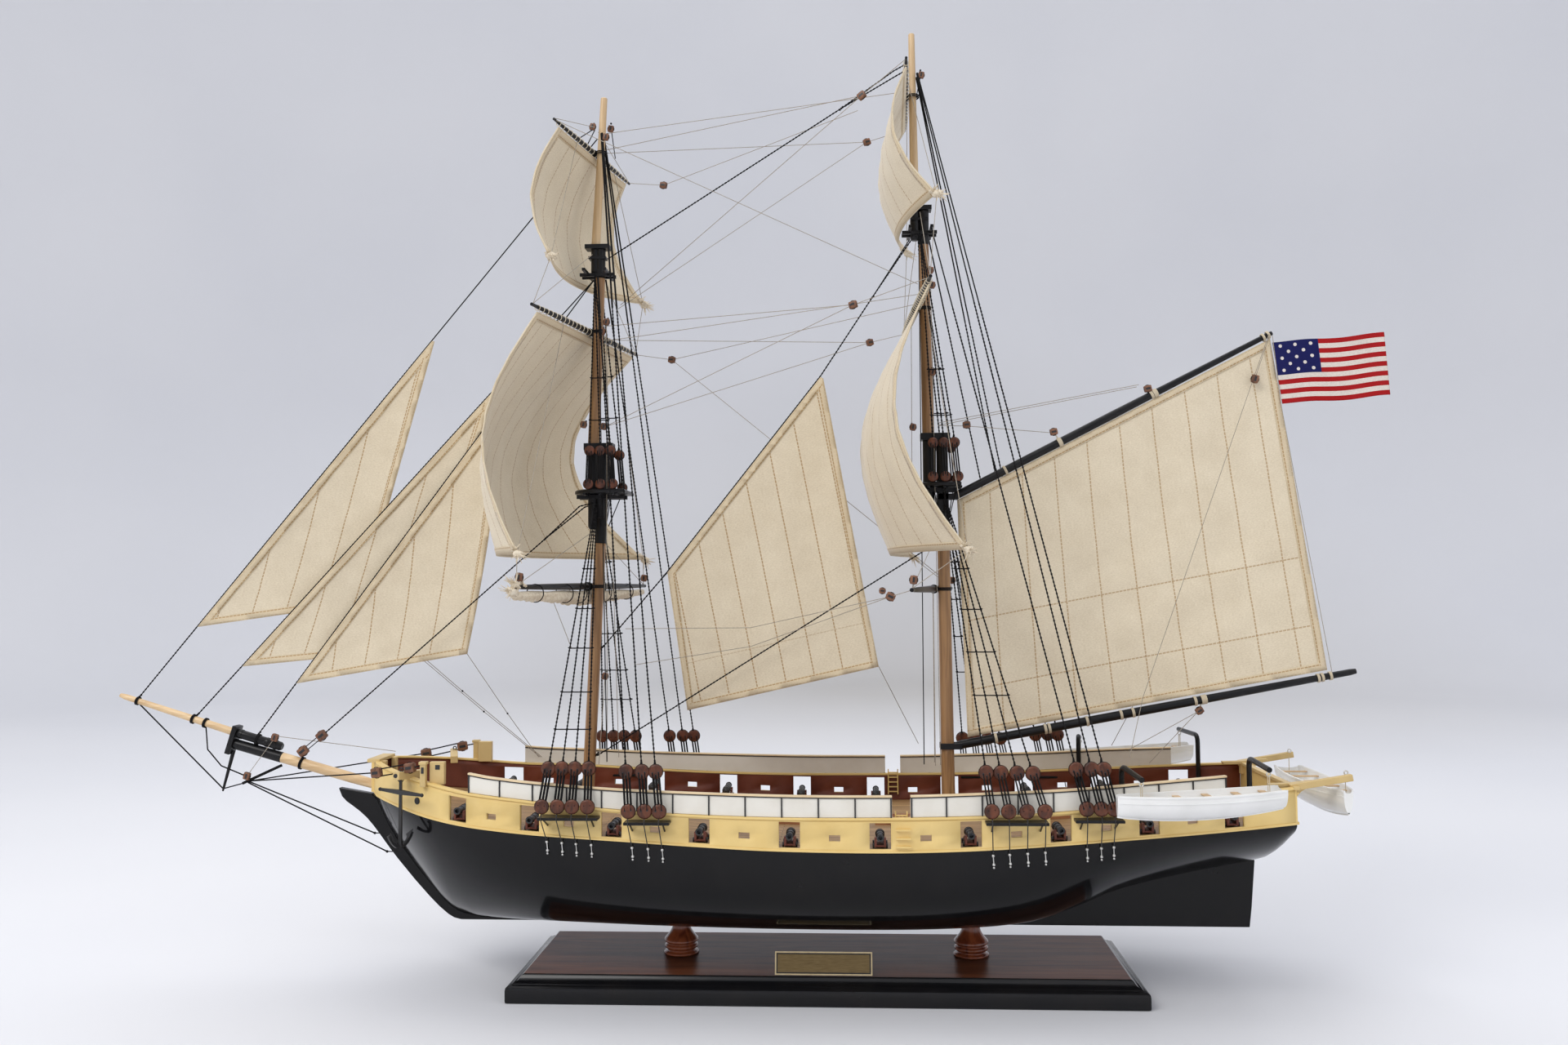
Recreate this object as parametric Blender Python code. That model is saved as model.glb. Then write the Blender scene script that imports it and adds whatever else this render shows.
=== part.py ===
"""Display model of a two-masted square-rigged brig on its moulded wooden stand.

Frame: metres, +Z up. The origin is at the centre of the stand's underside.
The bow points to -X, the stern to +X, port is -Y and starboard is +Y.
"""
import bpy
import bmesh
import math
from mathutils import Matrix, Vector

# Stand
BASE_RINGS = ((0.0000, 0.2078, 0.0607), (0.0095, 0.2078, 0.0607), (0.0118, 0.2068, 0.0597),
              (0.0125, 0.2040, 0.0570), (0.0138, 0.1998, 0.0530), (0.0170, 0.1972, 0.0505))
BASE_TOP = 0.0170
PEDESTAL_X = 0.1000
PLATE_SIZE = (0.0635, 0.0008, 0.0146)
PLATE_LEAN = math.radians(14)

# Hull lines: each pair is a place along the ship and the value there
HALF_BREADTH = ((-0.3180, 0.0030), (-0.3125, 0.0140), (-0.3020, 0.0270), (-0.2800, 0.0460),
                (-0.2500, 0.0630), (-0.2200, 0.0745), (-0.1800, 0.0845), (-0.1200, 0.0905),
                (-0.0500, 0.0936), (0.0300, 0.0945), (0.1000, 0.0920), (0.1600, 0.0872),
                (0.2200, 0.0785), (0.2700, 0.0675), (0.3020, 0.0580))
SHEER = ((-0.3180, 0.1275), (-0.2950, 0.1248), (-0.2600, 0.1190), (-0.2300, 0.1158),
         (-0.1930, 0.1138), (-0.1250, 0.1108), (-0.0800, 0.1084), (-0.0300, 0.1061),
         (0.0450, 0.1053), (0.1030, 0.1067), (0.1980, 0.1118), (0.3020, 0.1168))
WALL_TOP = ((-0.3180, 0.1500), (-0.2600, 0.1410), (-0.2300, 0.1368), (-0.1930, 0.1342),
            (-0.1400, 0.1302), (-0.0950, 0.1275), (-0.0300, 0.1256), (0.0450, 0.1256),
            (0.1040, 0.1265), (0.1440, 0.1282), (0.2200, 0.1330), (0.3020, 0.1392))
BOTTOM = ((-0.3165, 0.1255), (-0.3120, 0.1150), (-0.3050, 0.1020), (-0.2980, 0.0915),
          (-0.2880, 0.0785), (-0.2760, 0.0640), (-0.2650, 0.0520), (-0.2540, 0.0450),
          (-0.2350, 0.0418), (-0.1500, 0.0415), (0.0900, 0.0415), (0.1400, 0.0450),
          (0.1700, 0.0545), (0.1926, 0.0635), (0.2400, 0.0745), (0.2905, 0.0850),
          (0.2975, 0.0905), (0.3020, 0.0985))
FULLNESS = ((-0.3165, 1.25), (-0.2800, 1.30), (-0.2400, 1.55), (-0.2000, 1.85), (-0.1000, 2.30),
            (0.0500, 2.40), (0.1200, 2.10), (0.1900, 1.65), (0.2500, 1.50), (0.3020, 1.60))
STEM_FRONT = ((-0.3437, 0.1303), (-0.3413, 0.1237), (-0.3337, 0.1186), (-0.3231, 0.1099),
              (-0.3140, 0.0982), (-0.3064, 0.0881), (-0.3005, 0.0807), (-0.2882, 0.0663),
              (-0.2776, 0.0548), (-0.2642, 0.0426), (-0.2550, 0.0390))
FIN_AFT = ((0.2874, 0.0378), (0.2917, 0.0826), (0.2908, 0.0838))
KEEL_BOTTOM = 0.0378
KEEL_HALF = 0.00275
BOWSPRIT_SEAT = (-0.3195, 0.1262)
BOW_X = -0.3165
STERN_X = 0.3020

# Upper works
GAP = 0.0003
WALL = 0.0025
RAIL_THICK = 0.0015
RAIL_OVERHANG = 0.0008
DECK_THICK = 0.0015
PORT_COUNT = 10
PORT_PITCH = 0.0558
PORT_FIRST = -0.2425
PORT_SIZE = (0.0133, 0.0161)
PORT_SILL = 0.0019
HATCHES = ((-0.1100, 0.030, 0.026, 0.004), (-0.0200, 0.052, 0.030, 0.004), (0.0500, 0.030, 0.024, 0.004),
           (0.1500, 0.034, 0.024, 0.012), (0.2150, 0.024, 0.020, 0.008))
NETTING_TOP = ((-0.2300, 0.1508), (-0.2130, 0.1488), (-0.1360, 0.1440), (-0.0770, 0.1419),
               (-0.0150, 0.1405), (0.0450, 0.1404), (0.0770, 0.1410), (0.1570, 0.1437),
               (0.2150, 0.1474), (0.2560, 0.1497))
NETTING_SPANS = {"fore": (-0.2295, 0.0445), "aft": (0.0560, 0.2550)}
NETTING_THICK = 0.0018

# Channels: forward end, aft end, height, then the places of the lower deadeyes
CHANNELS = ((-0.1774, -0.1391, 0.1262, (-0.1748, -0.1649, -0.1556, -0.1457)),
            (-0.1223, -0.0936, 0.1240, (-0.1194, -0.1092, -0.1001)),
            (0.1018, 0.1399, 0.1245, (0.1054, 0.1156, 0.1267, 0.1376)),
            (0.1567, 0.1864, 0.1254, (0.1636, 0.1725, 0.1804)))
CHANNEL_WIDTH = 0.0090
DEADEYE_RADIUS = 0.0046
CATHEAD = ((-0.2763, 0.0400, 0.1466), (-0.2810, 0.0600, 0.1475), 0.0052)

# Spars: axis ends and radii, all in the centre plane
FORE_LOWER = ((-0.1663, 0.1150), (-0.1570, 0.3020), 0.0043, 0.0040)
FORE_DOUBLING = ((-0.1570, 0.3023), (-0.1535, 0.3690), 0.0040)
FORE_TOPMAST = ((-0.1617, 0.3731), (-0.1571, 0.4916), 0.0041, 0.0036)
FORE_TOPGALLANT = ((-0.1602, 0.5160), (-0.1542, 0.6230), 0.0032, 0.0024)
MAIN_LOWER = ((0.0860, 0.1085), (0.0848, 0.3020), 0.0047, 0.0043)
MAIN_DOUBLING = ((0.0848, 0.3023), (0.0846, 0.3730), 0.0043)
MAIN_TOPMAST = ((0.0751, 0.3771), (0.0736, 0.5107), 0.0041, 0.0036)
MAIN_TOPGALLANT = ((0.0677, 0.5386), (0.0668, 0.6630), 0.0032, 0.0022)
BOWSPRIT = ((-0.3140, 0.1311), (-0.4212, 0.1610), 0.0031, 0.0035)
JIBBOOM = ((-0.4168, 0.1677), (-0.5060, 0.1957), 0.0027, 0.0020)
JIBBOOM_HEEL = ((-0.3860, 0.1585), (-0.4168, 0.1677), 0.0030)
GAFF = ((0.0925, 0.3323), (0.3130, 0.4436), 0.0028, 0.0018)
BOOM = ((0.0912, 0.1596), (0.3632, 0.2101), 0.0030, 0.0022)

# Yards: centre, half length, radius at the middle and at the ends, brace angle in degrees
YARDS = {
    "fore_lower_yard": ((-0.1660, 0.2715), 0.1180, 0.0024, 0.0013, 10.3),
    "fore_topsail_yard": ((-0.1648, 0.4530), 0.0950, 0.0021, 0.0011, 10.8),
    "fore_topgallant_yard": ((-0.1613, 0.5825), 0.0710, 0.0018, 0.0009, 10.3),
    "main_lower_yard": ((0.0778, 0.2680), 0.1180, 0.0024, 0.0013, 10.0),
    "main_topsail_yard": ((0.0675, 0.4655), 0.0950, 0.0021, 0.0011, -3.0),
    "main_topgallant_yard": ((0.0620, 0.6175), 0.0680, 0.0018, 0.0009, 1.7),
}

# Square sails: yard, head half width, clews (x at port and starboard, half width, height),
# bow of the port and starboard leeches, extra belly in the middle of the foot, drop of the foot
SQUARE_SAILS = {
    "fore_topsail": ("fore_topsail_yard", 0.0860, (-0.1864, -0.1454, 0.1120, 0.2925),
                     (0.0285, 0.0510), 0.052, 0.0),
    "fore_topgallant_sail": ("fore_topgallant_yard", 0.0630, (-0.1751, -0.1386, 0.0730, 0.4892),
                             (0.0160, 0.0160), 0.016, 0.004),
    "main_topsail": ("main_topsail_yard", 0.0860, (0.0918, 0.0679, 0.1120, 0.2926),
                     (0.0320, 0.0320), 0.030, 0.0),
    "main_topgallant_sail": ("main_topgallant_yard", 0.0600, (0.0784, 0.0647, 0.0733, 0.5246),
                             (0.0180, 0.0180), 0.014, 0.004),
}
SAIL_THICK = 0.0010

# Fore-and-aft sails on the stays: stay, places of tack and head, clew,
# distance of the clew from the centre plane, curve of the leech
JIBS = {
    "flying_jib": ("outer", -0.4500, -0.2795, (-0.3354, 0.2603), 0.014, 0.0),
    "jib": ("middle", -0.4165, -0.2356, (-0.2969, 0.2267), 0.011, 0.0),
    "fore_topmast_staysail": ("inner", -0.3766, -0.2290, (-0.2550, 0.2238), 0.008, 0.0030),
}
JIB_HEAD = 0.0020
STAYSAIL_TACK = (-0.0959, 0.1838)
STAYSAIL_CLEW = (0.0390, 0.2137)
SPANKER = ((0.0997, 0.1655), (0.3441, 0.2110), (0.0947, 0.3300), (0.3116, 0.4395))
FLAG = ((0.3184, 0.3940), (0.3916, 0.3985), (0.3128, 0.4367), (0.3890, 0.4421))

# Stays: points from the fore end up to the masthead
STAY_RADIUS = 0.0005
STAYS = {
    "fore_topgallant_stay": ((-0.4917, 0.1947), (-0.1592, 0.5932)),
    "fore_stay": ((-0.3660, 0.1507), (-0.3572, 0.1667), (-0.1668, 0.3316)),
    "main_stay": ((-0.1595, 0.1525), (0.0797, 0.2999)),
    "main_topmast_stay": ((-0.1557, 0.2281), (-0.1105, 0.2798), (0.0002, 0.4190), (0.0636, 0.5142)),
    "main_topgallant_stay": ((-0.1517, 0.5057), (0.0164, 0.6106), (0.0637, 0.6420)),
}
TOPMAST_STAYS = ((-0.4487, 0.1816), (-0.4034, 0.1682), (-0.1617, 0.4905))

# Boats: middle of the gunwale plane, length, half beam, depth, rise over the length
QUARTER_BOAT = ((0.2289, 0.1055, 0.1455), 0.0985, 0.0130, 0.0152, 0.0050)
STERN_BOAT = ((0.3345, 0.0, 0.1385), 0.1150, 0.0125, 0.0180, 0.0)
BOAT_SHELL = 0.0011
BOAT_PLACES = (0.0, 0.03, 0.12, 0.25, 0.4, 0.55, 0.7, 0.85, 0.97, 1.0)
DAVITS = {"fore": (0.1885, 0.1570, 0.1945, 0.1525), "aft": (0.2720, 0.1595, 0.2700, 0.1587)}
FALL_RADIUS = 0.0005
FALL_SEAT = 0.0009
DAVIT_RADIUS = 0.0017
STERN_FALL = 0.0530

BLACK = (0.012, 0.012, 0.013)
YELLOW = (0.72, 0.57, 0.27)
WHITE = (0.80, 0.79, 0.75)
CLOTH = (0.66, 0.58, 0.45)
DARK_WOOD = (0.13, 0.045, 0.020)
MAST_WOOD = (0.36, 0.19, 0.09)
PINE = (0.66, 0.48, 0.26)


def clear_scene():
    for item in list(bpy.data.objects):
        bpy.data.objects.remove(item, do_unlink=True)


def material(name, colour, roughness, metallic=0.0):
    found = bpy.data.materials.get(name)
    if found:
        return found
    made = bpy.data.materials.new(name)
    made.use_nodes = True
    shader = made.node_tree.nodes["Principled BSDF"]
    shader.inputs["Base Color"].default_value = (*colour, 1.0)
    shader.inputs["Roughness"].default_value = roughness
    shader.inputs["Metallic"].default_value = metallic
    return made


def make(name, mesh_builder, finish):
    """Turn a bmesh into a named object with its finish."""
    mesh = bpy.data.meshes.new(name)
    bmesh.ops.recalc_face_normals(mesh_builder, faces=mesh_builder.faces)
    mesh_builder.to_mesh(mesh)
    mesh_builder.free()
    mesh.shade_smooth()
    mesh.set_sharp_from_angle(angle=math.radians(35))
    made = bpy.data.objects.new(name, mesh)
    made.data.materials.append(finish)
    bpy.context.scene.collection.objects.link(made)
    return made


def combine(target, name, mesh_builder, operation):
    """Join the shape to the target, or cut it out of the target, with a Boolean."""
    tool = make(name, mesh_builder, target.data.materials[0])
    tool.hide_render = True
    tool.display_type = "WIRE"
    modifier = target.modifiers.new(name, "BOOLEAN")
    modifier.operation = operation
    modifier.object = tool
    modifier.use_self = operation == "UNION"


def curve(table, x):
    """A smooth value at x through the pairs of a hull line."""
    if x <= table[0][0]:
        return table[0][1]
    if x >= table[-1][0]:
        return table[-1][1]
    last = len(table) - 1
    i = max(k for k in range(last) if table[k][0] <= x)
    slopes = []
    for k in (i, i + 1):
        low, high = max(k - 1, 0), min(k + 1, last)
        slopes.append((table[high][1] - table[low][1]) / (table[high][0] - table[low][0]))
    span = table[i + 1][0] - table[i][0]
    t = (x - table[i][0]) / span
    return ((2 * t**3 - 3 * t**2 + 1) * table[i][1] + (t**3 - 2 * t**2 + t) * span * slopes[0]
            + (3 * t**2 - 2 * t**3) * table[i + 1][1] + (t**3 - t**2) * span * slopes[1])


def loft(rings, closed=True):
    """Skin a row of equal rings and close both ends."""
    skin = bmesh.new()
    rows = [[skin.verts.new(point) for point in ring] for ring in rings]
    count = len(rows[0])
    for low, high in zip(rows, rows[1:]):
        for k in range(count if closed else count - 1):
            n = (k + 1) % count
            skin.faces.new((low[k], low[n], high[n], high[k]))
    skin.faces.new(list(reversed(rows[0])))
    skin.faces.new(rows[-1])
    return skin


def add_box(skin, centre, size, turn=None):
    made = bmesh.ops.create_cube(skin, size=1.0)["verts"]
    bmesh.ops.scale(skin, vec=size, verts=made)
    if turn:
        bmesh.ops.rotate(skin, cent=(0, 0, 0), matrix=turn, verts=made)
    bmesh.ops.translate(skin, vec=centre, verts=made)
    return made


def add_cone(skin, start, end, radius_start, radius_end, sides=12):
    """A round bar between two points, tapered if the radii differ."""
    start, end = Vector(start), Vector(end)
    made = bmesh.ops.create_cone(skin, cap_ends=True, segments=sides, radius1=radius_start,
                                 radius2=radius_end, depth=(end - start).length)["verts"]
    turn = (end - start).to_track_quat("Z", "Y").to_matrix()
    bmesh.ops.rotate(skin, cent=(0, 0, 0), matrix=turn, verts=made)
    bmesh.ops.translate(skin, vec=(start + end) / 2, verts=made)
    return made


def sweep(points, radius, sides=6):
    """A round bar along a bent line that lies in a plane of constant y or of constant x."""
    points = [Vector(p) for p in points]
    reach = points[-1] - points[0]
    across = Vector((0, 1, 0)) if abs(reach.x) > abs(reach.y) else Vector((1, 0, 0))
    rings = []
    for k, point in enumerate(points):
        before = (point - points[max(k - 1, 0)]).normalized()
        after = (points[min(k + 1, len(points) - 1)] - point).normalized()
        run = (before + after).normalized()
        side = run.cross(across).normalized()
        up = run.cross(side)
        stretch = 1.0 / max(0.5, run.dot(after if after.length else before))
        angles = [2 * math.pi * (i + 0.5) / sides for i in range(sides)]
        rings.append([point + side * radius * stretch * math.cos(a) + up * radius * math.sin(a)
                      for a in angles])
    return loft(rings)


def flat(point, y=0.0):
    """A point of the centre plane, or of a plane beside it."""
    return Vector((point[0], y, point[1]))


def side_point(x, inward, z):
    """A point at the ship's starboard side, moved inboard along the side's normal."""
    step = 0.0005
    slope = (curve(HALF_BREADTH, x + step) - curve(HALF_BREADTH, x - step)) / (2 * step)
    normal = Vector((slope, -1.0)).normalized()
    y = curve(HALF_BREADTH, x)
    return Vector((x + normal.x * inward, y + normal.y * inward, z))


def mirrored(point):
    return Vector((point[0], -point[1], point[2]))


# Stand
def build_stand():
    rings = [[(sx * x, sy * y, z) for sx, sy in ((-1, -1), (1, -1), (1, 1), (-1, 1))]
             for z, x, y in BASE_RINGS]
    make("base_board", loft(rings), material("stained base", (0.14, 0.06, 0.035), 0.2))
    top = KEEL_BOTTOM - GAP
    profile = ((0.0062, top), (0.0066, 0.0350), (0.0086, 0.0310), (0.0119, 0.0270), (0.0119, 0.0256),
               (0.0102, 0.0248), (0.0102, 0.0237), (0.0116, 0.0230), (0.0116, 0.0212), (0.0098, 0.0204),
               (0.0098, 0.0192), (0.0122, 0.0186), (0.0122, BASE_TOP + GAP))
    for name, x in (("pedestal_fore", -PEDESTAL_X), ("pedestal_aft", PEDESTAL_X)):
        sides = 16
        rings = [[(x + r * math.cos(2 * math.pi * k / sides), r * math.sin(2 * math.pi * k / sides), z)
                  for k in range(sides)] for r, z in profile]
        make(name, loft(rings), material("turned wood", (0.22, 0.07, 0.03), 0.25))
    plate = bmesh.new()
    lean = Matrix.Rotation(-PLATE_LEAN, 3, "X")
    add_box(plate, (0.0, -0.0490, BASE_TOP + GAP + 0.0074), PLATE_SIZE, lean)
    make("name_plate", plate, material("brass", (0.60, 0.45, 0.22), 0.3, 1.0))


# Hull
def section(x, count=9):
    """Half section from the keel's edge up to the sheer."""
    low, high = curve(BOTTOM, x), curve(SHEER, x)
    half = curve(HALF_BREADTH, x)
    power = 2.0 / curve(FULLNESS, x)
    points = []
    for k in range(count + 1):
        angle = math.pi / 2 * k / count
        y = KEEL_HALF + (half - KEEL_HALF) * math.sin(angle)**power
        z = low + (high - low) * (1 - math.cos(angle)**power)
        points.append(Vector((x, y, z)))
    return points


def hull_stations():
    bow = [BOW_X + 0.0015 + 0.062 * (k / 9)**1.5 for k in range(10)]
    body = [bow[-1] + (0.2500 - bow[-1]) * k / 14 for k in range(1, 15)]
    stern = [0.2500 + (STERN_X - 0.2500) * math.sin(math.pi / 2 * k / 6) for k in range(1, 7)]
    return bow + body + stern


def build_hull():
    rings = []
    for x in hull_stations():
        half = section(x)
        rings.append([mirrored(p) for p in half] + list(reversed(half)))
    make("hull", loft(rings), material("black gloss", BLACK, 0.15))


def build_backbone():
    """Stem, keel and the flat fin under the stern, cut from one board."""
    under = [(x, curve(BOTTOM, x) - 0.0005) for x in hull_stations() if x < 0.2905]
    head = [(BOWSPRIT_SEAT[0], BOWSPRIT_SEAT[1])]
    outline = list(STEM_FRONT) + list(FIN_AFT) + list(reversed(under)) + head
    rings = [[(x, y, z) for x, z in outline] for y in (-KEEL_HALF, KEEL_HALF)]
    make("stem_keel_and_fin", loft(rings), material("black gloss", BLACK, 0.15))


# Upper works
def side_places(first, last, steps):
    return [first + (last - first) * k / steps for k in range(steps + 1)]


def wall_ring(place, low, high, thick, rail, overhang, start=0.0):
    """Section of a wall with a rail on top, at one place along the side."""
    x = place
    shape = ((start, low), (start, high), (start - overhang, high), (start - overhang, high + rail),
             (start + thick + overhang, high + rail), (start + thick + overhang, high),
             (start + thick, high), (start + thick, low))
    return [side_point(x, inward, z) for inward, z in shape]


def build_bulwark():
    half = []
    places = [BOW_X - 0.0012 + 0.070 * (k / 11)**1.7 for k in range(12)]
    places += side_places(places[-1], 0.2994, 20)[1:]
    for x in places:
        low, high = curve(SHEER, x) + GAP, curve(WALL_TOP, x)
        half.append(wall_ring(x, low, high, WALL, RAIL_THICK, RAIL_OVERHANG))
    nose = [Vector((BOW_X - 0.0020 + inward, 0.0, z)) for inward, z in
            ((0.0, 0.1278), (0.0, 0.1500), (-0.0008, 0.1500), (-0.0008, 0.1515),
             (0.0033 + 0.003, 0.1515), (0.0033 + 0.003, 0.1500), (0.0055, 0.1500), (0.0055, 0.1278))]
    port = [[mirrored(p) for p in ring] for ring in half]
    bulwark = make("bulwark", loft(list(reversed(port)) + [nose] + half),
                   material("yellow paint", YELLOW, 0.35))
    holes = bmesh.new()
    for k in range(PORT_COUNT):
        x = PORT_FIRST + k * PORT_PITCH
        low = curve(SHEER, x) + PORT_SILL
        add_box(holes, (x, 0, low + PORT_SIZE[1] / 2), (PORT_SIZE[0], 0.25, PORT_SIZE[1]))
    seat = [Vector((BOWSPRIT[k][0], 0, BOWSPRIT[k][1])) for k in (0, 1)]
    add_cone(holes, seat[0] - (seat[1] - seat[0]) * 0.1, seat[1], BOWSPRIT[2] + GAP, BOWSPRIT[3] + GAP, 12)
    combine(bulwark, "gun_port_holes", holes, "DIFFERENCE")
    fittings = bmesh.new()
    for side in (-1, 1):
        add_channels(fittings, side)
        add_cathead(fittings, side)
    combine(bulwark, "channels_and_catheads", fittings, "UNION")


def add_channels(fittings, side):
    for first, last, height, eyes in CHANNELS:
        middle = (first + last) / 2
        inner = min(curve(HALF_BREADTH, x) for x in (first, last)) - 0.0010
        outer = max(curve(HALF_BREADTH, x) for x in (first, middle, last)) + CHANNEL_WIDTH
        add_box(fittings, (middle, side * (inner + outer) / 2, height),
                (last - first, outer - inner, 0.0018))
        for x in eyes:
            y = side * (outer - 0.0022)
            add_box(fittings, (x, y, height + 0.0020), (0.0018, 0.0018, 0.0040))
            add_cone(fittings, (x, y - 0.0014, height + 0.0075), (x, y + 0.0014, height + 0.0075),
                     DEADEYE_RADIUS, DEADEYE_RADIUS, 8)


def add_cathead(fittings, side):
    start, end, width = CATHEAD
    start = Vector((start[0], side * start[1], start[2]))
    end = Vector((end[0], side * end[1], end[2]))
    turn = (end - start).to_track_quat("Y", "Z").to_matrix()
    add_box(fittings, (start + end) / 2, (width, (end - start).length, width), turn)


def build_deck():
    """The deck in two halves that meet in the centre plane, each with its guns and half hatches."""
    for side, word in ((-1, "port"), (1, "starboard")):
        middle = side * GAP / 2
        rings = []
        for x in side_places(BOW_X + 0.012, 0.2985, 24):
            edge = side_point(x, WALL + GAP + 0.0003, 0.0)
            low = curve(SHEER, edge.x) + GAP
            high = low + DECK_THICK
            rings.append([(edge.x, middle, low), (edge.x, side * edge.y, low), (edge.x, side * edge.y, high),
                          (edge.x, middle, high)])
        deck = make("deck_" + word, loft(rings), material("deck planks", (0.50, 0.35, 0.19), 0.5))
        fittings = bmesh.new()
        for k in range(PORT_COUNT):
            add_gun(fittings, PORT_FIRST + k * PORT_PITCH, side)
        for x, length, width, height in HATCHES:
            top = curve(SHEER, x) + GAP + DECK_THICK
            half = width / 2 - GAP / 2
            add_box(fittings, (x, middle + side * half / 2, top + height / 2 - 0.0004),
                    (length, half, height + 0.0008))
        combine(deck, "guns_and_hatches_" + word, fittings, "UNION")


def add_gun(fittings, x, side):
    """A gun on its carriage, run out so that the muzzle lies in its port."""
    top = curve(SHEER, x) + GAP + DECK_THICK
    outer = curve(HALF_BREADTH, x)
    add_box(fittings, (x, side * (outer - 0.0125), top + 0.0020), (0.0074, 0.0150, 0.0050))
    add_cone(fittings, (x, side * (outer - 0.0210), top + 0.0066), (x, side * (outer + 0.0004), top + 0.0080),
             0.0027, 0.0018, 8)


def build_netting():
    for end, (first, last) in NETTING_SPANS.items():
        steps = 14 if end == "fore" else 10
        half = []
        for x in side_places(first, last, steps):
            low = curve(WALL_TOP, x) + RAIL_THICK + GAP
            high = curve(NETTING_TOP, x) - 0.0011
            half.append(wall_ring(x, low, high, NETTING_THICK, 0.0011, 0.0006, 0.0004))
        finish = material("white canvas", WHITE, 0.7)
        make("netting_starboard_" + end, loft(half), finish)
        make("netting_port_" + end, loft([[mirrored(p) for p in ring] for ring in half]), finish)


def build_transom():
    """Stern board with its rail and the two beams that carry the stern boat."""
    board = bmesh.new()
    low, high = curve(SHEER, STERN_X) + GAP, curve(WALL_TOP, STERN_X)
    half = curve(HALF_BREADTH, STERN_X)
    add_box(board, (0.3010, 0, (low + high) / 2), (0.0024, 2 * half, high - low))
    transom = make("transom", board, material("yellow paint", YELLOW, 0.35))
    extra = bmesh.new()
    add_box(extra, (0.3016, 0, high + 0.0010), (0.0036, 2 * half + 0.0030, 0.0026))
    for side in (-1, 1):
        start, end = Vector((0.3000, side * 0.0550, high + 0.0010)), Vector((0.3380, side * 0.0550, 0.1465))
        turn = (end - start).to_track_quat("Y", "Z").to_matrix()
        add_box(extra, (start + end) / 2, (0.0042, (end - start).length, 0.0042), turn)
        seat = boat_floor(STERN_BOAT, 0.5 + side * STERN_FALL / STERN_BOAT[1]) + FALL_SEAT
        top = (STERN_BOAT[0][0], side * (STERN_FALL + 0.0010), 0.1460)
        add_cone(extra, (STERN_BOAT[0][0], side * STERN_FALL, seat), top, FALL_RADIUS, FALL_RADIUS, 6)
    combine(transom, "taffrail_and_stern_davits", extra, "UNION")


# Boats
def boat_keel(t, depth):
    """Depth of a boat at the share t of its length."""
    return depth * (0.55 + 0.45 * math.sin(math.pi * (0.12 + 0.80 * t))**0.5)


def boat_floor(spec, t):
    """Height of the boat's inside floor at the share t of its length, between its frames."""
    middle, length, half_beam, depth, rise = spec
    k = max(i for i in range(len(BOAT_PLACES) - 1) if BOAT_PLACES[i] <= t)
    low, high = BOAT_PLACES[k], BOAT_PLACES[k + 1]
    share = (t - low) / (high - low)
    keel = boat_keel(low, depth) * (1 - share) + boat_keel(high, depth) * share
    return middle[2] + (t - 0.5) * rise - keel + 1.5 * BOAT_SHELL


def boat(name, spec, side=0, athwart=False):
    """An open boat: a thin shell with a pointed bow and a narrow flat stern."""
    middle, length, half_beam, depth, rise = spec
    sides = 6
    rings = []
    for t in BOAT_PLACES:
        ending = t in (0.0, 1.0)
        width = half_beam * max(0.12, math.sin(math.pi * (0.04 + 0.74 * t))**0.7)
        keel = boat_keel(t, depth)
        inner_width = max(width - BOAT_SHELL, width * 0.35)
        floor = (keel - 1.5 * BOAT_SHELL) * (0.15 if ending else 1.0)
        turn = [math.pi * i / sides for i in range(sides + 1)]
        outer = [(width * math.cos(a), -keel * math.sin(a)) for a in turn]
        inner = [(inner_width * math.cos(a), -floor * math.sin(a)) for a in reversed(turn)]
        rings.append([((t - 0.5) * length, y, z + (t - 0.5) * rise) for y, z in outer + inner])
    skin = loft(rings)
    if athwart:
        bmesh.ops.rotate(skin, cent=(0, 0, 0), matrix=Matrix.Rotation(math.radians(90), 3, "Z"),
                         verts=skin.verts)
    offset = Vector((middle[0], side * middle[1], middle[2]))
    bmesh.ops.translate(skin, vec=offset, verts=skin.verts)
    make(name, skin, material("white gloss", (0.82, 0.82, 0.80), 0.3))


def build_boats():
    """Two quarter boats in their davits and a third under the stern davits."""
    middle, length = QUARTER_BOAT[0], QUARTER_BOAT[1]
    black = material("black paint", BLACK, 0.4)
    for side, word in ((-1, "port"), (1, "starboard")):
        boat("quarter_boat_" + word, QUARTER_BOAT, side)
        for end, (x, top, tip_x, tip_z) in DAVITS.items():
            inner = curve(HALF_BREADTH, x) - 0.0062
            foot = curve(SHEER, x) + GAP + DECK_THICK + GAP
            tip = (tip_x, side * (middle[1] + 0.0018), tip_z)
            points = [(x, side * inner, foot), (x, side * inner, top), tip]
            davit = make("quarter_davit_" + word + "_" + end, sweep(points, DAVIT_RADIUS, 8), black)
            share = (tip_x - middle[0]) / length + 0.5
            fall = bmesh.new()
            low = boat_floor(QUARTER_BOAT, share) + FALL_SEAT
            y = side * middle[1]
            add_cone(fall, (tip_x, y, low), (tip_x, y, tip_z), FALL_RADIUS, FALL_RADIUS, 6)
            combine(davit, "fall_" + word + "_" + end, fall, "UNION")
    boat("stern_boat", STERN_BOAT, athwart=True)


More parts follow.
